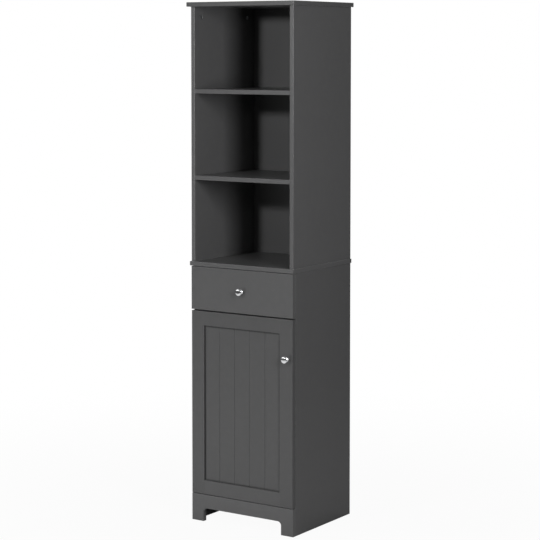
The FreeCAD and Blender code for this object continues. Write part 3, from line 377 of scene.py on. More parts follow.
def prism(outline, thick):  # an outline in X and Y drawn up from height 0
    mesh = bmesh.new()
    bottom = mesh.faces.new([mesh.verts.new((x, y, 0.0)) for x, y in outline])
    grown = bmesh.ops.extrude_face_region(mesh, geom=[bottom], use_keep_orig=True)["geom"]
    shift(mesh, z=thick, verts=vertsOf(grown))
    return mend(mesh)


def roundEdges(mesh, edges, width, segments=2, clamp=False):
    bmesh.ops.bevel(mesh, geom=edges, offset=width, segments=segments, affect="EDGES",
                    profile=0.5, material=-1, clamp_overlap=clamp)


def soften(mesh, width, clamp=False):  # rounds every sharp edge
    sharp = [edge for edge in mesh.edges if edge.calc_face_angle() > shaping["sharp"]]
    roundEdges(mesh, sharp, width, clamp=clamp)
    return mesh


def pourInto(whole, part, place=None):  # adds part to whole, at a place
    if place:
        bmesh.ops.transform(part, matrix=place, verts=part.verts)
    data = bpy.data.meshes.new("poured")
    part.to_mesh(data)
    part.free()
    whole.from_mesh(data)
    bpy.data.meshes.remove(data)


# crease is the angle in degrees above which an edge is drawn sharp.
def addPiece(name, mesh, body, slot, nodes=(), crease=35, rounds=0, finish=None, flats=False):
    for face in mesh.faces:
        face.smooth = True
    for edge in mesh.edges:
        edge.smooth = not (edge.is_manifold and edge.calc_face_angle() > math.radians(crease))
    bmesh.ops.scale(mesh, vec=(0.001, 0.001, 0.001), verts=mesh.verts)
    data = bpy.data.meshes.new(name)
    mesh.to_mesh(data)
    mesh.free()
    piece = bpy.data.objects.new(name, data)
    scene.collection.objects.link(piece)
    data.materials.append(finish or finishes[slot])
    if rounds:
        smoother = piece.modifiers.new("smoother", "SUBSURF")
        smoother.levels = smoother.render_levels = rounds
    if flats:   # large faces keep their own normal
        piece.modifiers.new("flats", "WEIGHTED_NORMAL").keep_sharp = True
    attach(piece, body)
    if nodes:
        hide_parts(*nodes)
    return piece


def thicken(piece, thick, soft):  # sheet metal gets its thickness and then softened edges
    wall = piece.modifiers.new("wall", "SOLIDIFY")
    wall.thickness, wall.offset, wall.use_even_offset = thick / 1000, 0.0, True
    edges = piece.modifiers.new("edges", "BEVEL")
    edges.width, edges.segments = soft / 1000, 2
    edges.limit_method, edges.angle_limit = "ANGLE", 1.0


def boxOf(node):
    low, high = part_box(node)
    return low * 1000, high * 1000


def looseParts(node):  # the points of each separate solid in a CAD node
    mesh = bmesh.new()
    mesh.from_mesh(frame["nodes"][node].data)
    bmesh.ops.scale(mesh, vec=(1000, 1000, 1000), verts=mesh.verts)
    bmesh.ops.remove_doubles(mesh, verts=mesh.verts, dist=shaping["cadMerge"])
    parts, seen = [], set()
    for start in mesh.verts:
        if start in seen:
            continue
        seen.add(start)
        part, waiting = [], [start]
        while waiting:
            vert = waiting.pop()
            part.append(vert.co.copy())
            for edge in vert.link_edges:
                other = edge.other_vert(vert)
                if other not in seen:
                    seen.add(other)
                    waiting.append(other)
        parts.append(part)
    mesh.free()
    return parts


def seat(points, turn):  # where a fastener lies: its head's radius, its length and its place
    low = Vector([min(point[k] for point in points) for k in range(3)])
    high = Vector([max(point[k] for point in points) for k in range(3)])
    span, middle = high - low, (low + high) / 2
    axis = min(range(3), key=lambda k: abs(span[k - 1] - span[k - 2]))
    across = [k for k in range(3) if k != axis]

    def wide(end):   # radius at one end, then how many points it has: the head has more of both
        near = [point for point in points if abs(point[axis] - end) < shaping["headEnd"]]
        reach = max(math.hypot(*(point[k] - middle[k] for k in across)) for point in near)
        return round(reach, 1), len(near)

    headUp = wide(high[axis]) > wide(low[axis])
    start, along = middle.copy(), Vector((0, 0, 0))
    start[axis] = high[axis] if headUp else low[axis]
    along[axis] = -1.0 if headUp else 1.0
    turned = Vector((0, 0, 1)).rotation_difference(along).to_matrix().to_4x4()
    place = Matrix.Translation(start) @ turned @ Matrix.Rotation(turn, 4, "Z")
    return span[across[0]] / 2, span[axis], place


draws = random.Random(5)   # turns each fastener by chance, the same in every run


def fasteners(node, name, body, slot, shape, *sizes):  # one shape at each of a node's fasteners
    found = [seat(part, draws.uniform(0, math.pi)) for part in looseParts(node)]
    unit, whole = shape(*found[0][:2], *sizes), bmesh.new()
    for _, _, place in found:
        pourInto(whole, unit.copy(), place)
    unit.free()
    addPiece(name, whole, body, slot, [node])
    return len(found)


crossRecess = {"sides": 24, "taper": 0.62}


def crossTop(long, wide, deep, radius, sunk):  # a flat top with a cross pressed into it at height 0
    mesh = bmesh.new()
    bmesh.ops.create_grid(mesh, x_segments=3, y_segments=3, size=1.5)
    for vert in mesh.verts:
        for k in (0, 1):
            vert.co[k] = math.copysign((long if abs(vert.co[k]) > 1 else wide) / 2, vert.co[k])
    corners = [face for face in mesh.faces
               if min(abs(face.calc_center_median()[k]) for k in (0, 1)) > wide / 2]
    bmesh.ops.delete(mesh, geom=corners, context="FACES")
    rim = [edge for edge in mesh.edges if edge.is_boundary]
    floor = vertsOf(bmesh.ops.extrude_face_region(mesh, geom=mesh.faces[:])["geom"])
    bmesh.ops.scale(mesh, vec=(crossRecess["taper"], crossRecess["taper"], 1), verts=floor)
    shift(mesh, z=deep, verts=floor)
    ring = bmesh.ops.create_circle(mesh, segments=crossRecess["sides"], radius=radius,
                                   matrix=Matrix.Translation((0, 0, sunk)))["verts"]
    edge = list(dict.fromkeys(edge for vert in ring for edge in vert.link_edges))
    bmesh.ops.bridge_loops(mesh, edges=rim + edge)
    return mesh, edge, radius


def carryOn(top, profile):  # draws a top's round edge on through (radius, height) pairs
    mesh, edge, radius = top
    height = edge[0].verts[0].co.z
    for wide, up in profile:
        grown = bmesh.ops.extrude_edge_only(mesh, edges=edge)["geom"]
        verts = vertsOf(grown)
        edge = [item for item in grown if isinstance(item, bmesh.types.BMEdge)
                and all(vert in verts for vert in item.verts)]
        if wide:
            bmesh.ops.scale(mesh, vec=(wide / radius, wide / radius, 1), verts=verts)
            shift(mesh, z=up - height, verts=verts)
            radius, height = wide, up
        else:
            bmesh.ops.pointmerge(mesh, verts=verts, merge_co=(0, 0, up))
    return mend(mesh)


# Height of the head and radius of the shank, as in the CAD, and about how far the head's rim lies
# below its middle.
screwKinds = {
    "runner_cabinet_screws": {"body": "cabinet", "head": 0.9, "shank": 1.75, "dome": 0.3},
    "runner_drawer_screws": {"body": "drawer", "head": 0.9, "shank": 1.75, "dome": 0.3},
    "drawer_box_screws": {"body": "drawer", "head": 0.8, "shank": 1.8, "dome": 0.0},
    "drawer_front_screws": {"body": "drawer", "head": 1.6, "shank": 2.0, "dome": 0.6},
    "drawer_knob_screw": {"body": "drawer", "head": 2.2, "shank": 2.0, "dome": 0.9},
    "door_knob_screw": {"body": "door", "head": 2.2, "shank": 2.0, "dome": 0.9},
    "hinge_cup_screws": {"body": "door", "head": 1.2, "shank": 1.8, "dome": 0.5},
    "hinge_plate_screws": {"body": "cabinet", "head": 1.4, "shank": 2.0, "dome": 0.5},
    "base_screws": {"body": "cabinet", "head": 2.0, "shank": 3.2, "dome": 0.0},
}
# Cross, flat and shoulder are shares of the head's radius, headShare of its height, the two Downs
# of its dome, and root, tip and plainEnd of the shank's radius. The rest are millimetres.
screwSizes = {
    "cross": 1.25, "crossWide": 0.3, "crossDeep": 0.5, "headShare": 0.55,
    "flat": 0.78, "flatDown": 0.35, "shoulder": 0.94, "shoulderDown": 0.7, "soft": 0.16,
    "root": 0.78, "tip": 1.4, "plainEnd": 2.5,
    "first": 0.6, "pitch": 1.6, "groove": 0.9, "crest": 1.3,
}


def screwShape(radius, long, head, shank, dome):
    size, neck = screwSizes, head + shank / 3
    root = shank * size["root"]
    deep = size["headShare"] * head + size["crossDeep"]
    top = crossTop(size["cross"] * radius, size["crossWide"] * radius, deep,
                   size["flat"] * radius, dome * size["flatDown"])
    profile = [(size["shoulder"] * radius, dome * size["shoulderDown"] + size["soft"] / 4),
               (radius, dome + size["soft"]), (radius, head), (shank, neck)]
    for k in range(int((long - head - size["plainEnd"] * shank) / size["pitch"])):
        at = neck + size["first"] + k * size["pitch"]
        profile += [(root, at), (root, at + size["groove"]), (shank, at + size["crest"])]
    profile += [(root, long - size["tip"] * shank), (0, long)]
    return carryOn(top, profile)


for node, kind in screwKinds.items():
    fasteners(node, node + "_cross_headed", kind["body"], "zinc", screwShape,
              kind["head"], kind["shank"], kind["dome"])
print("screws cut:", len(screwKinds), "kinds")


camSizes = {
    "cross": 7.6, "crossWide": 1.7, "crossDeep": 2.2, "flat": 5.0, "hollow": 0.45,
    "rim": ((-0.35, 0.45), (0, 0.08), (0.15, 0.0)), "rimRadius": 6.5, "soft": 0.3, "backSoft": 0.5,
    "arrow": 0.95, "arrowAt": 4.9, "arrowSunk": 0.55, "arrowHigh": 0.3, "arrowSoft": 0.1,
}


def camShape(radius, deep):  # a die-cast disc with a raised rim and an arrow
    size = camSizes
    top = crossTop(size["cross"], size["crossWide"], size["crossDeep"], size["flat"],
                   size["hollow"])
    mesh = carryOn(top, [
        *((size["rimRadius"] + out, down) for out, down in size["rim"]),
        (radius - size["soft"], 0.0), (radius, size["soft"]), (radius, deep - size["backSoft"]),
        (radius - size["backSoft"], deep), (0, deep)])
    arrow = bmesh.new()
    bmesh.ops.create_circle(arrow, segments=3, radius=size["arrow"], cap_ends=True)
    tall = bmesh.ops.extrude_face_region(arrow, geom=arrow.faces[:])["geom"]
    shift(arrow, z=-size["arrowHigh"], verts=vertsOf(tall))
    roundEdges(arrow, arrow.edges[:], size["arrowSoft"], 1)
    pourInto(mesh, mend(arrow), Matrix.Translation((0, size["arrowAt"], size["arrowSunk"])))
    return mesh


nailSizes = {"pit": 0.22, "pitRadius": 0.5, "head": 0.6, "soft": 0.25, "wire": 0.8, "tip": 2.4,
             "steps": 14}


def nailShape(radius, long):  # a flat head with a small pit, on a wire
    pit, head, soft, wire = (nailSizes[key] for key in ("pit", "head", "soft", "wire"))
    return turnedShape([
        (0, pit), (nailSizes["pitRadius"], pit), (wire, 0.03), (radius * 0.85, 0.05),
        (radius, soft), (radius, head), (wire, head + soft), (wire, long - nailSizes["tip"]),
        (0, long)], nailSizes["steps"])


pinSizes = {"stem": 2.5, "end": ((-0.8, 0), (-0.2, 0.3), (0, 1.0)), "fillet": (0.4, 0.3),
            "collar": 4.5, "collarThick": 1.0, "soft": 0.25, "steps": 24}


def pinShape(_, long):  # half of it goes in the board, the other half is under the shelf
    stem, collar, soft = (pinSizes[key] for key in ("stem", "collar", "soft"))
    out, back = pinSizes["fillet"]
    start = (long - pinSizes["collarThick"]) / 2
    half = [(0, 0), *((stem + wider, up) for wider, up in pinSizes["end"]), (stem, start - back),
            (stem + out, start), (collar - soft, start), (collar, start + soft)]
    return turnedShape(mirrored(half, long), pinSizes["steps"])


made = (fasteners("cam_discs", "cam_discs_cast", "cabinet", "zinc", camShape),
        fasteners("back_nails", "back_nails_headed", "cabinet", "zinc", nailShape),
        fasteners("shelf_pins", "shelf_pins_turned", "cabinet", "plated_steel", pinShape))
print("cams, nails and shelf pins made:", *made)


# Half profile of a knob, from the middle of its foot out to the middle of its face.
knobShape = {
    "profile": ((0, 0), (8.4, 0), (9.2, 0.3), (9.5, 1.2), (9.45, 2.6), (9.1, 4.0), (8.2, 5.2),
                (7.0, 6.2), (5.8, 7.0), (5.1, 8.0), (4.9, 9.2), (5.2, 10.4), (6.5, 11.4),
                (8.6, 12.3), (10.8, 13.6), (12.1, 15.1), (12.5, 16.6), (12.1, 18.1), (10.9, 19.3),
                (8.9, 20.2), (6.4, 20.75), (3.4, 20.95), (0, 21.0)),
    "steps": 40, "crease": 60, "rounds": 1,
}


def makeKnob(node, body):
    low, high = boxOf(node)
    middle, mesh = (low + high) / 2, bmesh.new()
    pourInto(mesh, turnedShape(knobShape["profile"], knobShape["steps"]),
             layAt(middle.x, high.y, middle.z, "X"))
    addPiece(node + "_turned", mesh, body, "bright_chrome", [node], crease=knobShape["crease"],
             rounds=knobShape["rounds"])


makeKnob("drawer_knob", "drawer")
makeKnob("door_knob", "door")
print("knobs turned")

rollerShape = {"hub": 4.3, "sunk": 0.9, "tyre": 2.4, "rim": 0.8, "bore": 2.05, "soft": 0.3,
               "draft": 0.2, "steps": 40}


def makeRoller(node):
    low, high = boxOf(node)
    middle, radius, wide = (low + high) / 2, (high.z - low.z) / 2, high.x - low.x
    hub, sunk, rim, bore, soft, draft = (
        rollerShape[key] for key in ("hub", "sunk", "rim", "bore", "soft", "draft"))
    inner = radius - rollerShape["tyre"]
    half = [(bore, soft), (bore + soft, 0), (hub - soft, 0), (hub, soft), (hub + draft, sunk),
            (inner - soft, sunk), (inner, 0.25), (inner + soft, 0), (radius - rim, 0),
            (radius - draft, rim * 0.6), (radius, rim * 1.4)]
    mesh = bmesh.new()
    pourInto(mesh, turnedShape(mirrored(half, wide), rollerShape["steps"], closed=True),
             layAt(low.x, middle.y, middle.z, "Y"))
    addPiece(node + "_moulded", mesh, node, "nylon", [node])


for node in ("front_roller_left", "front_roller_right", "rear_roller_left", "rear_roller_right"):
    makeRoller(node)

axleShape = {"head": ((0, -0.75), (1.5, -0.72), (2.5, -0.5), (3.0, -0.15), (3.0, 0.0), (2.0, 0.02)),
             "radius": 2.0, "steps": 20}


def makeAxles(node, body, headOut):  # the rivet's head holds the roller, its tail is in the runner
    whole = bmesh.new()
    for points in looseParts(node):
        limits = [(min(row), max(row)) for row in zip(*points)]
        start, stop = sorted(limits[0], key=abs, reverse=headOut)
        y, z = (sum(pair) / 2 for pair in limits[1:])
        long = abs(stop - start)
        shape = turnedShape([*axleShape["head"], (axleShape["radius"], long), (0, long)],
                            axleShape["steps"])
        pourInto(whole, shape, layAt(start, y, z, "Y", math.copysign(90, stop - start)))
    addPiece(node + "_riveted", whole, body, "zinc", [node])


makeAxles("front_roller_axles", "cabinet", False)
makeAxles("rear_roller_axles", "drawer", True)

# A path is the sheet's middle line across the runner, and its second point starts the upright web.
runnerSheet = {
    "thick": 1.2, "fold": 1.5, "soft": 0.2,
    "channel": ((10.5, 0.6), (0.6, 0.6), (0.6, 21.4), (10.5, 21.4)),
    "notch": 27.0,   # the channel has no flanges as far back as this, for the front roller
    "member": ((0.0, 23.4), (9.4, 23.4), (9.4, 2.6), (21.0, 2.6)),
    "slots": ((34, 12.0), (110, 12.0), (150, 5.0), (188, 12.0), (264, 12.0)),   # middle and length
    "slotHigh": 4.6, "corner": (0.29, 0.71),   # brings a slot's corners in to round its ends
}


def cutAt(mesh, place, normal):
    bmesh.ops.bisect_plane(mesh, geom=mesh.verts[:] + mesh.edges[:] + mesh.faces[:],
                           plane_co=place, plane_no=normal)


def foldedStrip(path, long):  # sheet metal along its middle line, with rounded folds
    mesh = bmesh.new()
    points = [mesh.verts.new((x, 0.0, z)) for x, z in path]
    edges = [mesh.edges.new(pair) for pair in zip(points, points[1:])]
    grown = bmesh.ops.extrude_edge_only(mesh, edges=edges)["geom"]
    shift(mesh, y=long, verts=vertsOf(grown))
    folds = [edge for edge in mesh.edges if len(edge.link_faces) == 2]
    roundEdges(mesh, folds, runnerSheet["fold"], 4)
    return mesh


def punch(mesh, web, y, z, long, high):  # a slot with round ends through the sheet at x = web
    half, end = long / 2, high / 2
    for side in (-1, 1):
        cutAt(mesh, (0, y + side * half, 0), (0, 1, 0))
        cutAt(mesh, (0, y + side * (half - end), 0), (0, 1, 0))
    middles = {face: face.calc_center_median() for face in mesh.faces}
    hole = [face for face, middle in middles.items() if abs(middle.x - web) < 0.1
            and abs(middle.y - y) < half and abs(middle.z - z) < end]
    for vert in {vert for face in hole for vert in face.verts}:
        if abs(abs(vert.co.y - y) - half) < 0.01 and abs(abs(vert.co.z - z) - end) < 0.01:
            back, down = runnerSheet["corner"]
            vert.co.y = y + (vert.co.y - y) / half * (half - back * end)
            vert.co.z = z + (vert.co.z - z) * down
    bmesh.ops.delete(mesh, geom=hole, context="FACES")


def makeRunner(node, body, path, notch=0.0):
    low, high = boxOf(node)
    mesh, web = foldedStrip(path, high.y - low.y), path[1][0]
    middle = (path[1][1] + path[2][1]) / 2
    for up in (-0.5, 0, 0.5):
        cutAt(mesh, (0, 0, middle + up * runnerSheet["slotHigh"]), (0, 0, 1))
    for y, long in runnerSheet["slots"]:
        punch(mesh, web, y, middle, long, runnerSheet["slotHigh"])
    if notch:
        cutAt(mesh, (0, notch, 0), (0, 1, 0))
        flanges = [face for face in mesh.faces if face.calc_center_median().y < notch
                   and abs(face.calc_center_median().x - web) > 0.05]
        bmesh.ops.delete(mesh, geom=flanges, context="FACES")
    lowest = min(z for _, z in path) - runnerSheet["thick"] / 2
    shift(mesh, low.x, low.y, low.z - lowest)
    if "right" in node:
        shift(mesh, x=-(low.x + high.x) / 2)
        bmesh.ops.scale(mesh, vec=(-1, 1, 1), verts=mesh.verts)
        shift(mesh, x=(low.x + high.x) / 2)
    piece = addPiece(node + "_folded", mend(mesh), body, "coated_steel", [node])
    thicken(piece, runnerSheet["thick"], runnerSheet["soft"])


for side in ("left", "right"):
    makeRunner("runner_cabinet_" + side, "cabinet", runnerSheet["channel"], runnerSheet["notch"])
    makeRunner("runner_drawer_" + side, "drawer", runnerSheet["member"])
print("runners folded, rollers moulded")


# One groove of the door panel, from one shoulder to the other, as (across, depth).
panelSizes = {"grooves": 4, "apart": 62.6, "crease": 50,
              "groove": ((-1.9, 0), (-1.45, 0.1), (-0.95, 0.55), (-0.35, 1.2), (0, 1.35),
                         (0.35, 1.2), (0.95, 0.55), (1.45, 0.1), (1.9, 0))}


def makePanel(node):
    low, high = boxOf(node)
    outline = [(low.x, low.y)]
    for k in range(panelSizes["grooves"]):
        at = (k - (panelSizes["grooves"] - 1) / 2) * panelSizes["apart"]
        outline += [(at + across, low.y + deep) for across, deep in panelSizes["groove"]]
    outline += [(high.x, low.y), (high.x, high.y), (low.x, high.y)]
    mesh = shift(prism(outline, high.z - low.z), z=low.z)
    addPiece(node + "_grooved", mesh, "door", "painted_board", [node],
             crease=panelSizes["crease"], finish=finishes[node], flats=True)


makePanel("door_panel")
print("door panel grooved")


def roundedPath(corners, radius):   # a closed outline with its corners rounded
    path, steps = [], shaping["cornerSteps"]
    for k, corner in enumerate(corners):
        corner = Vector(corner)
        before = (Vector(corners[k - 1]) - corner).normalized()
        after = (Vector(corners[(k + 1) % len(corners)]) - corner).normalized()
        half = before.angle(after) / 2
        middle = corner + (before + after).normalized() * (radius / math.sin(half))
        first = corner + before * radius / math.tan(half)
        last = corner + after * radius / math.tan(half)
        for j in range(steps + 1):
            way = first.lerp(last, j / steps) - middle
            path.append(middle + way.normalized() * radius)
    return path


def onCircle(radius, angles, x=0.0, y=0.0):
    return [(x + radius * math.cos(t), y + radius * math.sin(t)) for t in angles]


def standAt(x, y, z, right, up):   # turns local X to right and local Y to up, then moves to a place
    right, up = Vector(right), Vector(up)
    turned = Matrix((right, up, right.cross(up))).transposed().to_4x4()
    return Matrix.Translation((x, y, z)) @ turned


# A hinge cup is measured from its middle, and down from the door's back. The link goes through its
# notch. A wing has a near and a far edge across the door, and an end above or below the middle.
cupSizes = {
    "radius": 17.1, "sheet": 0.7, "soft": 0.15, "lift": 0.4, "floor": 11.6, "round": 1.5,
    "steps": 54, "rimRound": (0.3, 0.35), "notchDeep": 2.2, "notchHigh": 3.7, "lip": 18.7,
    "wing": (2.6, 16.4, 28.9), "wingRound": 3.5, "reach": 29.0,   # the reach is the CAD wing's
    "ear": (4.05, 8.9), "earRadius": 2.5, "earDeep": 11.5, "earSoft": 0.35, "pivotDown": 7.6,
}


def cupSheet():   # the cup pressed from one sheet with its lip and wings; Z runs down into the door
    size = cupSizes
    radius, floor, rounding, steps = (size[key] for key in ("radius", "floor", "round", "steps"))
    notch = math.asin(size["notchHigh"] / radius)
    angles = [math.pi + notch + k * (2 * math.pi - 2 * notch) / steps for k in range(steps + 1)]
    mesh = bmesh.new()

    def ring(wide, depth):
        return [mesh.verts.new((x, y, depth)) for x, y in onCircle(wide, angles)]

    near, far, past = size["wing"]
    corner, lip = size["wingRound"], size["lip"]
    quarter = [k * math.pi / 12 for k in range(7)]
    wing = [(near, math.sqrt(lip ** 2 - near ** 2)),
            *onCircle(corner, [math.pi - t for t in quarter], near + corner, past - corner),
            *onCircle(corner, [math.pi / 2 - t for t in quarter], far - corner, past - corner),
            (far, math.sqrt(lip ** 2 - far ** 2))]
    first, last = (math.atan2(*wing[k][::-1]) for k in (0, -1))
    edge = math.asin(size["notchHigh"] / lip)
    before = onCircle(lip, [math.pi - edge - k * (math.pi - edge - first) / 16 for k in range(16)])
    after = onCircle(lip, [last - k * last / 6 for k in range(1, 7)])
    half = before + wing + after
    outline = half + [(x, -y) for x, y in half[-2::-1]]
    out, down = size["rimRound"]
    inner, rim = ring(radius, down), ring(radius + out, 0.0)
    mesh.faces.new([mesh.verts.new((x, y, 0.0)) for x, y in outline] + rim)
    levels = [rim, inner, ring(radius, size["notchDeep"]), ring(radius, floor - rounding)]
    for t in (math.pi / 6, math.pi / 3, math.pi / 2):
        levels.append(ring(radius - rounding * (1 - math.cos(t)),
                           floor - rounding * (1 - math.sin(t))))
    levels.append(ring(radius / 2, floor))
    for k, (upper, lower) in enumerate(zip(levels, levels[1:])):
        for j in range(steps):
            mesh.faces.new((upper[j], upper[j + 1], lower[j + 1], lower[j]))
        if k > 1:   # below the notch the wall is whole
            mesh.faces.new((upper[steps], upper[0], lower[0], lower[steps]))
    mesh.faces.new(levels[-1])
    return mend(mesh)


def earShape():   # a tab for the cup's pin: Y down into the door, Z along the pin
    size = cupSizes
    reach, deep, down = size["earRadius"], size["earDeep"], size["pivotDown"]
    arch = onCircle(reach, [math.pi + k * math.pi / 10 for k in range(1, 10)], 0.0, down)
    outline = [(-reach, deep), (-reach, down), *arch, (reach, down), (reach, deep)]
    return soften(prism(outline, size["ear"][1] - size["ear"][0]), size["earSoft"])


def makeCups():
    size = cupSizes
    low, high = boxOf("hinge_cups")
    back = boxOf("door_stile_left")[1].y
    pinX, screwX = (sum(corner.x for corner in boxOf(node)) / 2
                    for node in ("hinge_cup_pins", "hinge_cup_screws"))
    x = screwX - (size["wing"][0] + size["wing"][1]) / 2
    sheets, ears = bmesh.new(), bmesh.new()
    for z in (low.z + size["reach"], high.z - size["reach"]):
        pourInto(sheets, cupSheet(), standAt(x, back + size["lift"], z, (1, 0, 0), (0, 0, 1)))
        for start in (size["ear"][0], -size["ear"][1]):
            # Local Z points down here, so both ears stand a thickness lower than meant.
            pourInto(ears, earShape(), standAt(pinX, back, z + start, (1, 0, 0), (0, -1, 0)))
    piece = addPiece("hinge_cups_pressed", sheets, "door", "plated_steel", ["hinge_cups"])
    thicken(piece, size["sheet"], size["soft"])
    addPiece("hinge_cup_ears", mend(ears), "door", "plated_steel")


# An arm and its plate are measured from the side panel: out from its face, and back from its edge.
sidePanelFace, sidePanelEdge = boxOf("lower_side_left")[1].x, boxOf("lower_side_left")[0].y
armSizes = {
    "near": ((3.2, 60.0), (3.2, 16.0)), "far": ((13.0, 26.0), (13.0, 60.0)),
    "nose": ((18.7, 1.9), (22.9, 4.9)), "pivot": (20.8, 3.4), "slot": 6.0,
    "levels": (-7.0, -3.3, 3.3, 7.0), "soft": 0.55,   # the nose is forked between the middle two
    "panelDeep": 0.8, "panelRim": 1.7,   # the hollow along the arm's outer face
    "pin": ((0, -0.4), (1.1, -0.38), (1.6, -0.15), (1.7, 0.1), (1.2, 0.1)), "pinSteps": 20,
    "screws": ((34.0, 0.5), (50.0, 1.5)), "screwOut": 1.0,   # how far back, and turned, in radians
    "screwCross": (3.6, 0.9, 1.2, 2.1, 0.1),
    "screwEdge": ((2.7, 0.25), (2.9, 0.55), (2.9, 1.8), (0, 1.8)),
}
# Front, back, half height, thickness and corner radius of the slab under the arm and of the wings.
plateSizes = {"slabs": ((18.0, 60.0, 7.0, 3.2, 1.5), (32.0, 46.0, 24.0, 2.0, 4.5)), "soft": 0.4}


def nearTo(start, stop, middle, radius):   # where the line from start to stop is radius from middle
    start, stop, middle = Vector(start), Vector(stop), Vector(middle)
    way = (stop - start).normalized()
    along = (start - middle).dot(way)
    half = math.sqrt(along ** 2 - (start - middle).length ** 2 + radius ** 2)
    return start + way * (half - along)


def arc(middle, first, turn):   # the points between the two ends of an arc that starts at first
    way, steps = Vector(first) - Vector(middle), shaping["arcSteps"]
    return [Vector(middle) + Matrix.Rotation(turn * k / steps, 2) @ way for k in range(1, steps)]


def armShape():   # X out from the side panel, Y back from its edge, Z up
    size = armSizes
    (tipNear, tipFar), pivot = size["nose"], size["pivot"]
    back, near = (Vector(point) for point in size["near"])
    farFront, farBack = (Vector(point) for point in size["far"])
    cutNear = nearTo(tipNear, near, pivot, size["slot"])
    cutFar = nearTo(tipFar, farFront, pivot, size["slot"])
    swing = (cutNear - Vector(pivot)).angle_signed(cutFar - Vector(pivot))
    mouth = arc(pivot, cutNear, -swing)
    shank = [back, near, cutNear, *mouth, cutFar, farFront, farBack]
    nose = [cutNear, Vector(tipNear), *arc(pivot, tipNear, math.pi), Vector(tipFar), cutFar]
    mesh, corners = bmesh.new(), {}

    def at(point, level):
        key = (round(point.x, 3), round(point.y, 3), level)
        if key not in corners:
            corners[key] = mesh.verts.new((point.x, point.y, size["levels"][level]))
        return corners[key]

    for low in (0, 1, 2):
        front = nose if low != 1 else [cutNear, *mouth, cutFar]
        for path in (shank[:3], [cutFar, farFront, farBack, back], front):
            for a, b in zip(path, path[1:]):
                mesh.faces.new((at(a, low), at(b, low), at(b, low + 1), at(a, low + 1)))
    for level in (0, 3):
        mesh.faces.new([at(point, level) for point in shank])
    for level in range(4):
        mesh.faces.new([at(point, level) for point in nose + mouth[::-1]])
    mend(mesh)
    side = [face for face in mesh.faces   # the arm's outer face
            if abs(face.normal.x) > 0.99 and face.calc_center_median().x > back.x + 5]
    bmesh.ops.inset_region(mesh, faces=side, thickness=size["panelRim"], depth=-size["panelDeep"])
    return soften(mesh, size["soft"], clamp=True)


def makeArms():
    size, half = armSizes, armSizes["levels"][-1]
    arms, screws, plates, pins = bmesh.new(), bmesh.new(), bmesh.new(), bmesh.new()
    low, high = boxOf("hinge_arms")
    top = sidePanelFace + size["far"][0][0] - size["panelDeep"] + size["screwOut"]
    for z in (low.z + half, high.z - half):
        pourInto(arms, armShape(), Matrix.Translation((sidePanelFace, sidePanelEdge, z)))
        for behind, turn in size["screws"]:
            place = standAt(top, sidePanelEdge + behind, z, (0, 0, 1), (0, -1, 0))
            pourInto(screws, carryOn(crossTop(*size["screwCross"]), size["screwEdge"]),
                     place @ Matrix.Rotation(turn, 4, "Z"))
        pin = turnedShape(mirrored(size["pin"], 2 * half), size["pinSteps"])
        pourInto(pins, pin, Matrix.Translation((sidePanelFace + size["pivot"][0],
                                                sidePanelEdge + size["pivot"][1], z - half)))
        for front, back, tall, thick, radius in plateSizes["slabs"]:
            corners = [(front, -tall), (back, -tall), (back, tall), (front, tall)]
            slab = soften(prism(roundedPath(corners, radius), thick), plateSizes["soft"])
            pourInto(plates, slab, standAt(sidePanelFace, sidePanelEdge, z, (0, 1, 0), (0, 0, 1)))
    addPiece("hinge_arms_cast", arms, "cabinet", "plated_steel", ["hinge_arms"])
    addPiece("hinge_arm_pins_riveted", pins, "cabinet", "plated_steel", ["hinge_arm_pins"])
    addPiece("hinge_arm_screws", screws, "cabinet", "zinc")
    addPiece("hinge_plates_pressed", plates, "cabinet", "plated_steel", ["hinge_plates"])


makeCups()
makeArms()
print("hinges formed")

# Paint in the hairline between a back panel and the slab above or below it keeps the light out.
# Each place is a panel, its end (0 low, 1 high), a slab and that slab's face.
seams = {
    "places": (("upper_back_panel", 1, "top_slab", 0), ("upper_back_panel", 0, "middle_slab", 1),
               ("lower_back_panel", 1, "middle_slab", 0)),
    "inset": 0.1, "soft": 0.04,
}


def makeSeams():
    whole, inset = bmesh.new(), seams["inset"]
    for panel, end, slab, side in seams["places"]:
        box = boxOf(panel)
        low, high = sorted((box[end].z, boxOf(slab)[side].z))
        left, right = box[0].x + inset, box[1].x - inset
        outline = [(left, low), (right, low), (right, high), (left, high)]
        strip = soften(prism(outline, box[1].y - box[0].y - 2 * inset), seams["soft"])
        pourInto(whole, strip, standAt(0, box[1].y - inset, 0, (1, 0, 0), (0, 0, 1)))
    addPiece("back_panel_seams", whole, "cabinet", "painted_hardboard",
             finish=finishes["upper_back_panel"])


makeSeams()
print("seams filled")


ground = {
    "size": 30.0, "colour": (0.46, 0.46, 0.46),
    "white": 0.95, "whiteFade": (0.3, 2.6),   # its share of pure white for the camera, to 1 far off
    # Painted reflection: for glossy rays the floor glows, bright near the cabinet and ahead of it,
    # and dark elsewhere.
    "mirrored": 0.7, "mirroredFar": (4.5, 2.0), "mirroredFrom": (0.0, -0.6), "dark": 0.02,
}


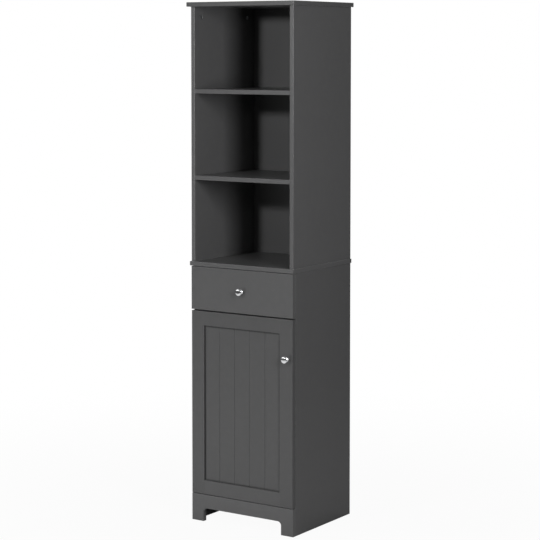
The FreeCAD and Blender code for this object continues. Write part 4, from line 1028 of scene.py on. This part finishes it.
def makeFloor():
    mesh = bmesh.new()
    bmesh.ops.create_grid(mesh, x_segments=12, y_segments=12, size=ground["size"])
    data = bpy.data.meshes.new("floor")
    mesh.to_mesh(data)
    mesh.free()
    floor = bpy.data.objects.new("floor", data)
    scene.collection.objects.link(floor)
    f = Finish("studio_floor")
    seen = f.add("ShaderNodeLightPath", {}, {}, "Is Camera Ray")
    mirroring = f.add("ShaderNodeLightPath", {}, {}, "Is Glossy Ray")
    plain = f.add("ShaderNodeBsdfDiffuse", {}, {"Color": ground["colour"]})
    glow = f.add("ShaderNodeEmission", {}, {"Color": (1.0, 1.0, 1.0), "Strength": 1.0})
    x, y, _ = f.axes()
    far = (x * x + y * y) ** 0.5
    share = far.fade(*ground["whiteFade"], ground["white"], 1.0) * seen
    # Painted reflection: the floor glows for glossy rays only, so metal mirrors a lit floor.
    ahead = far.fade(*ground["mirroredFar"]) * y.fade(*ground["mirroredFrom"])
    share = share.most(mirroring * (ground["dark"] + ahead * ground["mirrored"]))
    data.materials.append(f.show(f.add("ShaderNodeMixShader", {}, {0: share, 1: plain, 2: glow})))


# A fade is along one axis of the direction that is looked in.
sky = {
    "light": 0.078, "frontLight": 0.24, "frontFade": (-0.3, -1.0),   # the dim light from all round
    # What metal mirrors: walls, a ceiling and a bright panel ahead on the left.
    "wall": 0.05, "frontWall": 0.07, "wallFade": (-0.3, -0.9),
    "ceiling": 0.35, "ceilingFade": (0.02, 0.2),
    "panel": 1.7, "panelX": (-0.2, -0.5), "panelY": (-0.2, -0.5), "panelZ": (0.6, 0.45),
}


def makeSky():
    f = Finish("studio_sky", "World")
    seen = f.add("ShaderNodeLightPath", {}, {}, "Is Camera Ray")
    through = f.add("ShaderNodeLightPath", {}, {}, "Is Transmission Ray")
    mirroring = f.add("ShaderNodeLightPath", {}, {}, "Is Glossy Ray")
    x, y, z = f.axes()
    walls = y.fade(*sky["wallFade"], sky["wall"], sky["frontWall"])
    panel = x.fade(*sky["panelX"]) * y.fade(*sky["panelY"]) * z.fade(*sky["panelZ"])
    above = sky["ceiling"] + panel * (sky["panel"] - sky["ceiling"])
    room = walls + z.fade(*sky["ceilingFade"]) * (above - walls)
    dim = y.fade(*sky["frontFade"], sky["light"], sky["frontLight"])
    strength = dim + mirroring * (room - dim)
    strength = strength + seen.most(through) * (1.0 - strength)   # the camera sees plain white
    scene.world = f.show(f.add("ShaderNodeBackground", {},
                               {"Color": (1.0, 1.0, 1.0), "Strength": strength}))


lamps = {   # the low one stands for light off the floor, and metal doesn't mirror it
    "key": {"place": (-0.40, -2.74, 2.06), "size": (0.22, 0.2), "power": 31.0},
    "fill": {"place": (2.1, -1.27, 1.66), "size": (0.52, 1.1), "power": 41.0},
    "behind": {"place": (-1.3, 2.7, 1.9), "size": (1.2, 1.2), "power": 45.0},
    "low": {"place": (-0.95, -1.5, 0.05), "size": (1.5, 1.3), "power": 20.0,
            "aim": (0.0, 0.0, 0.3), "reflected": False},
}


def makeLamp(name, place, size, power, aim=(0.0, 0.0, 1.0), reflected=True):
    light = bpy.data.lights.new(name, "AREA")
    light.shape, light.energy = "RECTANGLE", power
    light.size, light.size_y = size
    lamp = bpy.data.objects.new(name, light)
    lamp.location = place
    toward = Vector(aim) - Vector(place)
    lamp.rotation_euler = toward.to_track_quat("-Z", "Y").to_euler()
    scene.collection.objects.link(lamp)
    lamp.visible_camera, lamp.visible_glossy = False, reflected


makeFloor()
makeSky()
for name, lamp in lamps.items():
    makeLamp(name, **lamp)

view = {
    "place": (3.40102, -5.07407, 1.63959), "turn": (86.343, 0.0, 33.821),
    "lens": 117.73, "sensor": 36.0, "shift": -0.2,
}
camera = bpy.data.cameras.new("camera")
camera.sensor_width, camera.lens, camera.shift_y = view["sensor"], view["lens"], view["shift"]
viewer = bpy.data.objects.new("camera", camera)
viewer.location = view["place"]
viewer.rotation_euler = [math.radians(turn) for turn in view["turn"]]
scene.collection.objects.link(viewer)
scene.camera = viewer
scene.view_settings.view_transform = "Standard"
print("studio ready")
